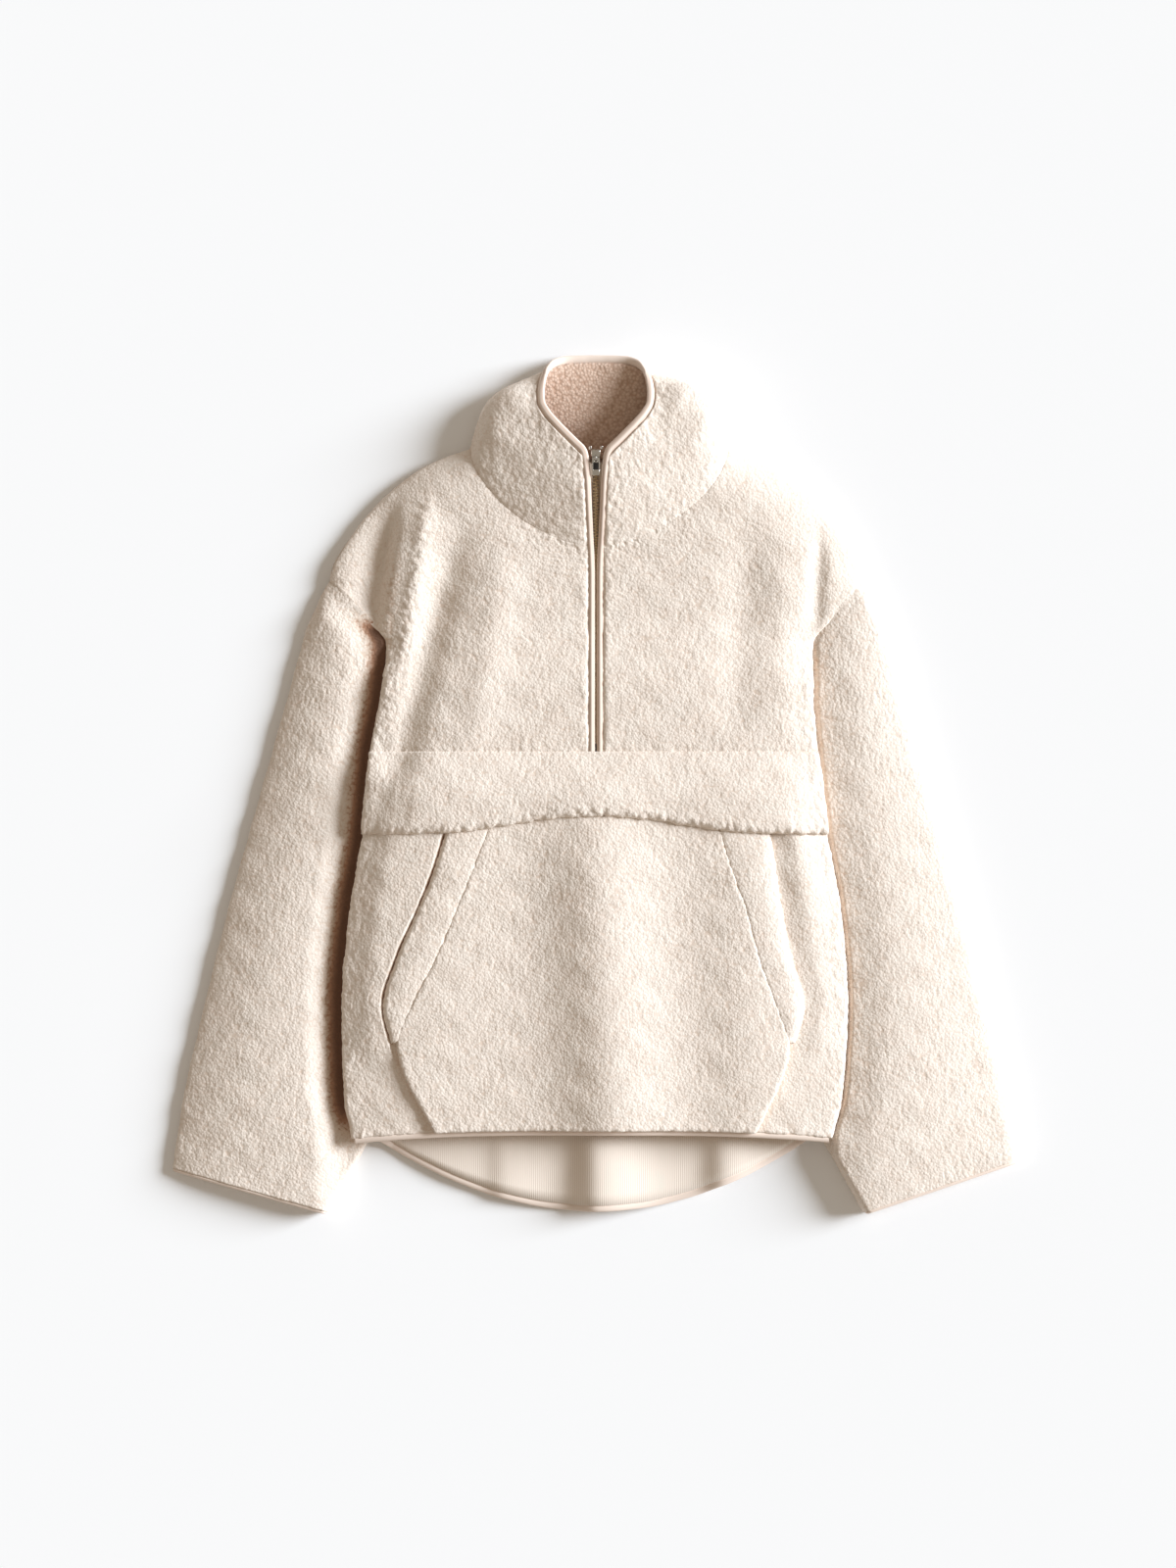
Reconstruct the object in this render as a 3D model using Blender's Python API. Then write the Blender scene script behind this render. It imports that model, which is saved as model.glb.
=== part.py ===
"""A half-zip pullover jacket in sherpa pile, laid flat on its back with the sleeves tucked
a little way under the body. Metres, +Z up, +Y towards the collar, the zip on X = 0.

Sizes are in millimetres and turned to metres where the meshes are made. Each row of BODY is a
section across the body. The front panels, the flap and the pocket follow its upper skin, and
the back panel its lower one. The front lies on the back with little air between. Every cloth
piece is a wall between an outer surface and the same surface moved in along its normals, and
pieces that meet or lie on each other are made from the same rows and columns of points."""

import math

import bpy
import numpy as np
from mathutils import Matrix, Vector

MM = 0.001
PILE = 5.0  # sherpa cloth: knitted ground and pile together
FLEECE = 2.4  # short fleece inside the collar
GAP = 0.3  # between pieces that a seam joins
SEAM = GAP / 2
AIR = 0.5  # least air between two layers that lie on each other
LAYERS = 2 * PILE + AIR
UNDERARM_Y = 131.0
STANDING = 1.6  # least height of the front over the back's pile

# ---- sections of the body, from the neck to the hem -------------------------------------
# y: station; left, right: the outline; edge: height of the side's fold; opened: 1 where the
# front and the back part at an armhole; puff: how far the front stands off the back
BODY_COLUMNS = ("y", "left", "right", "edge", "opened", "puff")
BODY = (
    (309, -115, 121, 9.5, 0, 13),  # neck points
    (296, -151, 154, 8.5, 0, 13),
    (270, -188, 193, 7.5, 0, 12),
    (236, -219, 222, 6.5, 0, 11),
    (190, -244, 244, 6, 0, 10),  # shoulder tips, where the armholes start
    (180, -235, 238, 6, 0.6, 10),
    (168, -224, 227, 6, 1, 10),
    (148, -205, 211, 8, 1, 10),
    (139, -196, 203, 10, 0.6, 10),
    (UNDERARM_Y, -192, 199, 12, 0, 10),
    (85, -196, 199, 17.6, 0, 9),
    (31, -206, 203, 17.6, 0, 9),  # flap seam
    (-42, -213, 211, 17.6, 0, 8),
    (-110, -224, 223, 17.6, 0, 8),
    (-200, -232, 230, 17.6, 0, 8),  # pocket corners
    (-280, -230, 225, 17.6, 0, 6),
    (-326, -222, 215, 17.6, 0, 5),  # front hem
    (-400, -222, 215, 17.6, 0, 5),
)
EDGE_PUFF = 0.5  # share of the puff that is left at the sides
FRONT_REACH, FRONT_POWER = 30.0, 2.2  # how the front rounds down to the edge, and how fully
BACK_REACH, BACK_POWER = 8.0, 2.0
ARMHOLE = (190, 180, 168, 148, 139, UNDERARM_Y)
BRIDGE = (84.0, 6.0, 60.0)  # the front's rise to the tucked sleeves: width, clearance, length

# ---- the largest folds of the front: soft ridges (+) and troughs (-) ---------------------
# from (x1, y1) to (x2, y2), bowed sideways by bow, width across, height at the middle
FOLD_COLUMNS = ("x1", "y1", "x2", "y2", "bow", "width", "height")
FOLDS = (
    (-164, 262, -188, 70, 3, 16, 6),
    (-128, 268, -182, 48, 12, 16, -8),
    (-92, 232, -150, 36, 10, 19, 5),
    (184, 232, 168, 75, -3, 17, 5),
    (150, 258, 112, 90, -5, 20, -6),
    (-38, -50, -42, -305, 0, 19, -6),  # beside the middle ridge of the pocket
    (6, -50, 2, -318, 2, 17, 7),
    (104, -50, 106, -290, 0, 18, -5),
    (140, -50, 142, -296, 0, 17, 5),
)
FOLD_FADE = 0.3  # share of a fold's length over which each end dies out

# ---- sleeves: sections from the armhole to the cuff, as on the left side -----------------
# outer: the free edge; inner: the edge tucked under the body; loft: height of the top
SLEEVE_COLUMNS = ("outer_x", "outer_y", "inner_x", "inner_y", "loft")
SLEEVE = (
    (-244, 190, -192, UNDERARM_Y, 22),
    (-263, 150, -191, 96, 24),
    (-283, 80, -163, 38, 25),
    (-307, -5, -147, -40, 25),
    (-335, -105, -150, -135, 25),
    (-360, -205, -171, -235, 25),
    (-378, -285, -202, -312, 23),
    (-388, -350, -245, -390, 18),
)
RIGHT_CUFF_LIFT = 8.0  # how much higher the right cuff's outer corner lies
SLEEVE_TOP = (0, 0.06, 0.17, 0.27, 0.377, 0.49, 0.60, 0.726, 0.81, 0.887, 0.95, 1)
SLEEVE_UNDER = (0.887, 0.726, 0.55, 0.377, 0.17, 0.06)
ARMHOLE_SHARES = (0, 0.17, 0.377, 0.726, 0.887, 1)  # where the armhole's stations fall on it
TUCK = LAYERS + GAP  # height of a sleeve where the body lies on it
LIFT = TUCK + 0.7  # height of the back panel there
OUTER_REACH, INNER_SLOPE = 34.0, 38.0  # how far the top takes to rise from each side

# ---- back hem, the tail that drops below the front ---------------------------------------
TAIL_Y, TAIL_SIDE_Y = -384.0, -300.0
TAIL_POWER, TAIL_ROUND = 2.05, 1.05
TAIL_WAVES = ((-92, 17, 7.0), (8, 19, 9.0), (122, 20, 7.0))  # x, width, height of each wave
WAVES_Y, WAVES_RISE = -318.0, 46.0  # where the waves start, and how long they take to rise
TAIL_REACH = 26.0  # how far past the tucked sleeve the back panel falls to the ground
UNDERARM_RISE = 36.0  # how far below the underarm the tucked sleeve has its full height

# ---- front pieces -----------------------------------------------------------------------
NECK_FRONT_Y, NECK_BACK_Y, NECK_SIDE_Y = 219.0, 300.0, 309.0
NECK_POWER = 1.65  # exponent of the neck seam's curve
ZIP_EDGE = 8.6  # half the gap that the zip and its bindings fill
FLAP_SEAM_Y, FLAP_MIDDLE_Y, FLAP_SIDE_Y = 31.0, -27.0, -43.0
FRONT_HEM_MIDDLE_Y, FRONT_HEM_SIDE_Y = -314.0, -321.0
POCKET_TOP_Y = -14.0
# How far from the middle the openings' edges and their stitching lie on each side; below
# BAND_END_Y the second is the pocket's own lower edge, and the first runs beside it
POCKET_COLUMNS = ("y", "opening_left", "stitching_left", "opening_right", "stitching_right")
POCKET = (
    (40, 124, 84, 150, 98),
    (-14, 131, 91, 155, 107),
    (-65, 144, 108, 162, 120),
    (-110, 161, 126, 169, 136),
    (-155, 181, 145, 178, 148),
    (-200, 194, 168, 190, 164),
    (-234, 187, 181, 182, 176),
    (-326, 150, 142, 150, 142),
)
BAND_END_Y = -234.0
FLAP_ROWS = (FLAP_SEAM_Y, 8.0, POCKET_TOP_Y, FLAP_SIDE_Y)
LOWER_ROWS = (*FLAP_ROWS, -75, -110, -155, -200, BAND_END_Y, -262, -290, FRONT_HEM_SIDE_Y)
UPPER_ROWS = (NECK_SIDE_Y, 296, 270, 236, *ARMHOLE, 85, FLAP_SEAM_Y)
BAND_PUFF = 2.0  # how much a turned pocket band stands above the pocket

# ---- rows of the back panel: where each starts at the side, and its middle ---------------
BACK_ROWS = (
    *((y, y) for y in ARMHOLE),
    (85, 85), (31, 31), (-42, -42), (-110, -116), (-170, -184), (-218, -238),
    (-256, -286), (-276, -316), (-288, -340), (-296, -363), (-300, TAIL_Y),
)
BACK_NECK_ROWS = ((NECK_SIDE_Y, NECK_BACK_Y), (296, 287), (270, 264), (236, 233))

# ---- collar: its top edge, from the zip round to the middle of the back ------------------
TOP_COLUMNS = ("share", "x", "y", "z")
COLLAR_TOP = (
    (0.00, -12, 301, 41),
    (0.12, -22, 311, 41),
    (0.24, -37, 326, 40),
    (0.36, -49, 340, 37),
    (0.47, -55, 355, 31),
    (0.58, -54, 368, 24),
    (0.68, -50, 378, 16),
    (0.78, -41, 385, 8),
    (0.88, -24, 388, 2),
    (1.00, 0, 388.5, 0),
)
LINING_GAP = 0.45
COLLAR_SIDE_SHARE = 0.6  # share of the half collar that the front's neck seam takes
COLLAR_TAPER = (1, 1, 1, 0.9, 0.62)  # thickness of the collar, row by row
COLLAR_ROWS = len(COLLAR_TAPER)
BULGE_FRONT, BULGE_SIDE, BULGE_HIGH = 3.0, 17.0, 1.2

# ---- zip and bindings -------------------------------------------------------------------
ZIP_FOOT_Y, ZIP_PART_Y, SLIDER_Y = 39.0, 213.0, 295.0
CHAIN = (5.2, 2.6)  # width and thickness of the closed teeth
CHAIN_DEPTH = 5.8
TAPE = (5.4, 0.8)
BINDING = (6.6, 5.2)  # width and thickness of the piping along the zip and the neck
BINDING_X = 3.7  # its middle, from the zip's middle
ZIP_CORNER = np.array([3.6, 1.6, 0.4])  # where it turns, from the collar's corner at the zip
HEM_BINDING = (5.4, 4.6)
CUFF_BINDING = (3.6, 4.4)
SLIDER = (8.8, 11.5, 5.4)
BAIL = (3.6, 6.0, 2.6)
PULL = (6.8, 17.0, 1.4)
BARREL = 1.0  # radius of the pull's hinged end


# ---- helpers ----------------------------------------------------------------------------
def smooth_table(rows, at):
    """Rows read as smooth curves of their first column: monotone cubics, so that no curve
    overshoots its rows."""
    rows = np.array(sorted(rows), float)
    x, values = rows[:, 0], rows[:, 1:]
    step = np.diff(x)[:, None]
    slope = np.diff(values, axis=0) / step
    before, after = slope[:-1], slope[1:]
    same_way = before * after > 0
    mean = 2 * before * after / np.where(same_way, before + after, 1)
    tangent = np.vstack([slope[:1], np.where(same_way, mean, 0), slope[-1:]])
    at = np.clip(np.asarray(at, float), x[0], x[-1])
    i = np.clip(np.searchsorted(x, at) - 1, 0, len(x) - 2)
    width = (x[i + 1] - x[i])[..., None]
    t = (at[..., None] - x[i][..., None]) / width
    return (
        values[i] * (1 + 2 * t) * (1 - t) ** 2
        + tangent[i] * width * t * (1 - t) ** 2
        + values[i + 1] * t**2 * (3 - 2 * t)
        + tangent[i + 1] * width * t**2 * (t - 1)
    )


def ease(t):
    t = np.clip(t, 0, 1)
    return t * t * (3 - 2 * t)


def unit(v):
    return v / np.maximum(np.linalg.norm(v, axis=-1, keepdims=True), 1e-12)


def rounding(q, power):
    """A quarter superellipse falling from 1 to 0, its slope times g, and g, which takes the
    endless slope out at q = 1."""
    left = np.clip(1 - q**power, 0, 1)
    return left ** (1 / power), -(q ** (power - 1)), left ** (1 - 1 / power)


def fold_height(x, y):
    """The sum of the folds: a bell across each one, dying out towards its two ends."""
    total = np.zeros(np.broadcast(x, y).shape)
    for x1, y1, x2, y2, bow, width, height in FOLDS:
        along = np.array([x2 - x1, y2 - y1], float)
        length = np.linalg.norm(along)
        along /= length
        t = ((x - x1) * along[0] + (y - y1) * along[1]) / length
        inside = np.clip(t, 0, 1)
        aside = (x - x1) * -along[1] + (y - y1) * along[0] - bow * 4 * inside * (1 - inside)
        fade = ease(t / FOLD_FADE) * ease((1 - t) / FOLD_FADE)
        total += height * np.exp(-((aside / width) ** 2)) * fade
    return total


def tucked_edge(y):
    """How far from the middle the sleeves' tucked edges lie at y."""
    return np.abs(smooth_table([(row[3], row[2]) for row in SLEEVE], y)[..., 0])


def back_rest(x, y):
    """Height of the back panel's underside: on the ground, on the tucked sleeves, and in the
    waves of its tail."""
    tucked = ease((np.abs(x) - (tucked_edge(y) - TAIL_REACH)) / (TAIL_REACH - 2))
    waves = sum(h * np.exp(-(((x - at) / wide) ** 2)) for at, wide, h in TAIL_WAVES)
    below_arm, below_hem = ease((UNDERARM_Y - y) / UNDERARM_RISE), ease((WAVES_Y - y) / WAVES_RISE)
    return LIFT * tucked * below_arm + waves * below_hem


def front_rest(x, y):
    """Height of the front's upper side: it lies on the back, bridges the step beside the
    tucked sleeves, and stands off in puffs and folds."""
    wide, clearance, long = BRIDGE
    bridge = ease((np.abs(x) - (tucked_edge(y) - wide - clearance)) / wide)
    bridge = bridge * ease((UNDERARM_Y + 19 - y) / long)
    here = smooth_table(BODY, y)
    share = (2 * x - here[..., 0] - here[..., 1]) / (here[..., 1] - here[..., 0])
    puff = here[..., 4] * (1 - (1 - EDGE_PUFF) * np.clip(np.abs(share), 0, 1) ** 4)
    sides = 1 - np.clip(np.abs(share), 0, 1) ** 6
    return LAYERS + GAP + LIFT * bridge + STANDING + puff + fold_height(x, y) * sides


def skin(x, y, rest, reach, power, up):
    """Points and outward normals of a surface that lies at rest(x, y) and, within reach of
    the body's outline, rounds to the height that the outline has there."""
    step = 0.5
    here = smooth_table(BODY, y)
    slope = (smooth_table(BODY, y + step) - smooth_table(BODY, y - step)) / (2 * step)
    right = x > (here[..., 0] + here[..., 1]) / 2
    side = np.where(right, 1.0, -1.0)
    bound = np.where(right, here[..., 1], here[..., 0])
    bound_y = np.where(right, slope[..., 1], slope[..., 0])
    reach = reach * np.sqrt(1 + bound_y**2)
    q = np.clip(1 - side * (bound - x) / reach, 0, 1)
    fall, steep, g = rounding(q, power)
    height = rest(x, y)
    opened = np.clip(here[..., 3], 0, 1)
    edge = here[..., 2] + (height - here[..., 2]) * opened
    edge_y = slope[..., 2] * (1 - opened)
    height_x = (rest(x + step, y) - rest(x - step, y)) / (2 * step)
    height_y = (rest(x, y + step) - rest(x, y - step)) / (2 * step)
    near = (height - edge) * steep * (q > 0) * side / reach
    across = g * height_x * fall + near
    along = g * (edge_y * (1 - fall) + height_y * fall) - near * bound_y
    normal = unit(np.stack([-across, -along, g + 1e-9], -1))
    opened = opened[..., None]
    normal = up * unit(normal * (1 - opened) + np.array([0, 0, 1.0]) * opened)
    return np.stack([x, y, edge + (height - edge) * fall], -1), normal


def front_skin(x, y):
    points, normals = skin(x, y, front_rest, FRONT_REACH, FRONT_POWER, 1)
    return points + [0, 0, GAP + 0.1], normals


def back_skin(x, y):
    return skin(x, y, back_rest, BACK_REACH, BACK_POWER, -1)


def outline_x(side, y):
    return smooth_table(BODY, y)[..., 1 if side > 0 else 0]


MATERIALS = {
    "sherpa": ((0.83, 0.74, 0.63), 0.95, 0.0),
    "fleece": ((0.62, 0.48, 0.38), 0.95, 0.0),
    "binding": ((0.86, 0.76, 0.66), 0.6, 0.0),
    "tape": ((0.78, 0.68, 0.58), 0.8, 0.0),
    "metal": ((0.72, 0.70, 0.66), 0.3, 1.0),
}


def material(name):
    made = bpy.data.materials.get(name)
    if made:
        return made
    colour, roughness, metallic = MATERIALS[name]
    made = bpy.data.materials.new(name)
    made.use_nodes = True
    shader = made.node_tree.nodes["Principled BSDF"]
    shader.inputs["Base Color"].default_value = (*colour, 1)
    shader.inputs["Roughness"].default_value = roughness
    shader.inputs["Metallic"].default_value = metallic
    return made


def add_object(name, points, faces, slot, parent):
    mesh = bpy.data.meshes.new(name)
    mesh.from_pydata([tuple(p) for p in np.asarray(points) * MM], [], faces)
    mesh.materials.append(material(slot))
    made = bpy.data.objects.new(name, mesh)
    bpy.context.scene.collection.objects.link(made)
    made.parent = parent
    mesh.shade_smooth()
    mesh.set_sharp_from_angle(angle=math.radians(40))
    return made


def turn_outwards(mesh):
    """Turns a closed mesh's faces outwards, if its volume says that they point inwards."""
    points = np.zeros(len(mesh.vertices) * 3)
    mesh.vertices.foreach_get("co", points)
    points = points.reshape(-1, 3)
    mesh.calc_loop_triangles()
    corners = np.zeros(len(mesh.loop_triangles) * 3, int)
    mesh.loop_triangles.foreach_get("vertices", corners)
    a, b, c = points[corners.reshape(-1, 3)].transpose(1, 0, 2)
    if (a * np.cross(b, c)).sum() < 0:
        mesh.flip_normals()


def grid_faces(rows, columns, first, flip, wrap):
    """Triangles between the points of a grid, split the same way whichever side they face.
    wrap joins the last column to the first."""
    faces = []
    for r in range(rows - 1):
        for c in range(columns if wrap else columns - 1):
            d = (c + 1) % columns
            i, j = first + r * columns, first + (r + 1) * columns
            for corner in ((i + c, i + d, j + d), (i + c, j + d, j + c)):
                faces.append(corner[::-1] if flip else corner)
    return faces


def wall(name, outer, inner, slot, parent, wrap=False):
    """A closed solid between two grids of points."""
    rows, columns = outer.shape[:2]
    count = rows * columns
    faces = grid_faces(rows, columns, 0, False, wrap)
    faces += grid_faces(rows, columns, count, True, wrap)
    rims = [
        (r * columns + c, r * columns + (c + 1) % columns, r == 0)
        for r in (0, rows - 1)
        for c in range(columns if wrap else columns - 1)
    ]
    if not wrap:
        rims += [
            (r * columns + c, (r + 1) * columns + c, c > 0)
            for c in (0, columns - 1)
            for r in range(rows - 1)
        ]
    for a, b, flip in rims:
        for corner in ((a, b, count + b), (a, count + b, count + a)):
            faces.append(corner[::-1] if flip else corner)
    points = np.concatenate([outer.reshape(-1, 3), inner.reshape(-1, 3)])
    made = add_object(name, points, faces, slot, parent)
    turn_outwards(made.data)
    return made


def strip(name, path, across, up, width, thick, slot, parent, closed=False, sides=6):
    """A rounded strip along a path: an ellipse of the given width and thickness, set out on
    the directions across and up at each point."""
    angle = np.linspace(0, 2 * math.pi, sides, endpoint=False) + math.pi / sides
    width = np.broadcast_to(width, len(path))[:, None, None]
    ring = np.cos(angle)[None, :, None] * across[:, None, :] * width / 2
    ring = ring + np.sin(angle)[None, :, None] * up[:, None, :] * thick / 2
    points = path[:, None, :] + ring
    rows = len(path)
    if closed:
        points, rows = np.concatenate([points, points[:1]]), rows + 1
    faces = grid_faces(rows, sides, 0, False, True)
    if closed:
        count = (rows - 1) * sides
        faces = [[i % count for i in face] for face in faces]
        points = points[:-1]
    else:
        faces.append(list(range(sides))[::-1])
        faces.append([(rows - 1) * sides + c for c in range(sides)])
    made = add_object(name, points.reshape(-1, 3), faces, slot, parent)
    turn_outwards(made.data)
    return made


# ---- the front's grids ------------------------------------------------------------------
def neck_seam(side, t):
    """The neck seam on the front, from the neck point (t = 0) to the zip (t = 1)."""
    wide = abs(outline_x(side, NECK_SIDE_Y))
    last = math.acos((ZIP_EDGE / wide) ** (NECK_POWER / 2))
    x = wide * np.cos(t * last) ** (2 / NECK_POWER)
    fall = np.sin(t * last) ** (2 / NECK_POWER)
    return side * x, NECK_SIDE_Y - (NECK_SIDE_Y - NECK_FRONT_Y) * fall


NECK_SHARES = np.array([0, 0.06, 0.15, 0.27, 0.41, 0.56, 0.7, 0.82, 0.92, 1.0])


def front_panel(side, name, parent):
    """An upper front: shoulder, armhole and side on its outer edge, neck and zip inside."""
    stations = np.array(UPPER_ROWS, float)
    t, v = np.meshgrid(NECK_SHARES, (NECK_SIDE_Y - stations) / (NECK_SIDE_Y - FLAP_SEAM_Y))
    top_x, top_y = neck_seam(side, NECK_SHARES)
    fall = np.where(v < 1, NECK_SIDE_Y - stations[:, None], NECK_SIDE_Y - FLAP_SEAM_Y - SEAM)
    y = NECK_SIDE_Y - fall - (NECK_SIDE_Y - top_y) * (1 - v)
    y = np.where(v == 0, top_y - SEAM, y)
    outer = outline_x(side, stations)[:, None]
    outer[-1] = outline_x(side, y[-1, 0])
    # Measured from the outline: a fixed reach near it, and even shares from there to the zip.
    near = np.array([0, 2.0, 7.0, 16.0, 30.0])
    even = np.linspace(0, 1, len(t[0]) - len(near) + 1)[1:]
    low = outer - side * near
    rest = (outer - side * near[-1]) * (1 - even) + side * ZIP_EDGE * even
    spread = np.concatenate([low, rest], 1)
    blend = ease(v / 0.3)
    straight = outer * (1 - t) + side * ZIP_EDGE * t
    bend = top_x - (outer[0] * (1 - NECK_SHARES) + side * ZIP_EDGE * NECK_SHARES)
    x = (straight + bend) * (1 - blend) + spread * blend
    x[0] = top_x
    points, normals = front_skin(x, y)
    wall(name, points, points - PILE * normals, "sherpa", parent)
    return points, normals


def flap_edge_y(x):
    """The flap's lower edge: raised in the middle, level at the sides."""
    return FLAP_SIDE_Y + (FLAP_MIDDLE_Y - FLAP_SIDE_Y) * np.exp(-((np.abs(x) / 95) ** 2.4))


def front_hem_y(x):
    return FRONT_HEM_MIDDLE_Y + (FRONT_HEM_SIDE_Y - FRONT_HEM_MIDDLE_Y) * (np.abs(x) / 215) ** 3


def lower_grid():
    """Points and normals of the lower front's outer surface. The columns run along the sides,
    the pocket's openings and the pocket's stitching, and the rows along the flap's edge, the
    pocket's top and corner, and the hem. Returns which columns and rows those are, too."""
    stations = np.array(LOWER_ROWS, float)
    flap_row, hem_row = len(FLAP_ROWS) - 1, len(stations) - 1

    def half(side, y):
        outline = outline_x(side, y)
        first = 2 if side > 0 else 0
        opening, stitching = side * smooth_table(POCKET, y).T[first : first + 2]
        near = [outline - side * d for d in (0, 2.0, 7.0, 16.0)]
        outside = [(near[-1] + opening) / 2, opening, (opening + stitching) / 2, stitching]
        inside = [stitching * (1 - k) for k in (0.15, 0.32, 0.5, 0.67, 0.84)]
        return np.stack(near + outside + inside, -1)

    columns = 13
    y = np.repeat(stations[:, None], 2 * columns + 1, axis=1)
    y[0] -= SEAM
    for _ in range(3):
        left = np.stack([half(-1, y[:, c])[:, c] for c in range(columns)], 1)
        right = np.stack([half(1, y[:, -1 - c])[:, c] for c in range(columns)], 1)
        x = np.concatenate([left, np.zeros((len(y), 1)), right[:, ::-1]], 1)
        y[flap_row] = flap_edge_y(x[flap_row])
        y[hem_row] = front_hem_y(x[hem_row])
    points, normals = front_skin(x, y)
    sink = 3.0 * ease((y - 8) / (FLAP_SEAM_Y - 8))
    return points - sink[..., None] * normals, normals


OPENING, STITCHING = 5, 7  # columns of the lower grid, counted from either side


def lower_pieces(parent):
    """The lower front, and the pieces that lie on it: flap, pocket and pocket bands."""
    points, normals = lower_grid()
    last = points.shape[1] - 1
    wall("front_lower", points, points - PILE * normals, "sherpa", parent)
    top, band_end = LOWER_ROWS.index(POCKET_TOP_Y), LOWER_ROWS.index(BAND_END_Y)

    rows, columns = slice(top, None), slice(STITCHING, last - STITCHING + 1)
    base, out = points[rows, columns].copy(), normals[rows, columns]
    base[:, 0, 0] += SEAM
    base[:, -1, 0] -= SEAM
    inner = base + GAP * out
    wall("pocket", inner + PILE * out, inner, "sherpa", parent)

    for side, word in ((-1, "left"), (1, "right")):
        rows = slice(top, band_end + 1)
        columns = slice(OPENING, STITCHING + 1)
        if side > 0:
            columns = slice(last - STITCHING, last - OPENING + 1)
        base, out = points[rows, columns].copy(), normals[rows, columns]
        seam = -1 if side < 0 else 0
        base[:, seam, 0] += side * SEAM
        puff = np.zeros(base.shape[:2])
        puff[2:-1, 1] = BAND_PUFF
        inner = base + GAP * out
        outer = inner + (PILE + puff)[..., None] * out
        wall(f"pocket_band_{word}", outer, inner, "sherpa", parent)

    rows = slice(0, len(FLAP_ROWS))
    base, out = points[rows], normals[rows]
    over = np.zeros(base.shape[:2])
    over[2:, OPENING : last - OPENING + 1] = 1
    over[2:, [OPENING - 1, last - OPENING + 1]] = 0.55
    inner = base + (GAP + (PILE + GAP) * over)[..., None] * out
    thick = np.array([2.6, PILE, PILE + 0.6, PILE])[:, None, None]
    wall("flap", inner + thick * out, inner, "sherpa", parent)
    return points, normals


# ---- the back ---------------------------------------------------------------------------
def tail_shape(share):
    return (1 - np.clip(np.abs(share), 0, 1) ** TAIL_POWER) ** TAIL_ROUND


def back_grid():
    """Points and normals of the back's outer surface. Its columns run along the sides and
    along the tucked edges of the sleeves."""
    rows = np.array(BACK_NECK_ROWS + BACK_ROWS, float)
    side_y, drop = rows[:, :1], (rows[:, 1] - rows[:, 0])[:, None]
    columns = 12

    def half(side, y):
        outline = outline_x(side, y)
        near = [outline - side * d for d in (0, 2.0, 6.0, 13.0)]
        edge = np.minimum(tucked_edge(y), np.abs(outline) - 17 - 12 * ease((y - 200) / 90))
        step = [side * (edge - d) for d in (-3, 8, 17, 27)]
        between = [(near[-1] + step[0]) / 2]
        inside = [step[-1] * (1 - k) for k in (0.26, 0.52, 0.77)]
        return np.stack(near + between + step + inside, -1)

    y = np.repeat(side_y, 2 * columns + 1, axis=1)
    for _ in range(4):
        left = np.stack([half(-1, y[:, c])[:, c] for c in range(columns)], 1)
        right = np.stack([half(1, y[:, -1 - c])[:, c] for c in range(columns)], 1)
        x = np.concatenate([left, np.zeros((len(y), 1)), right[:, ::-1]], 1)
        bounds = np.where(x < 0, -x[:, :1], x[:, -1:])
        y = side_y + drop * tail_shape(x / bounds)
    y[0] -= SEAM
    return back_skin(x, y)


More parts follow.
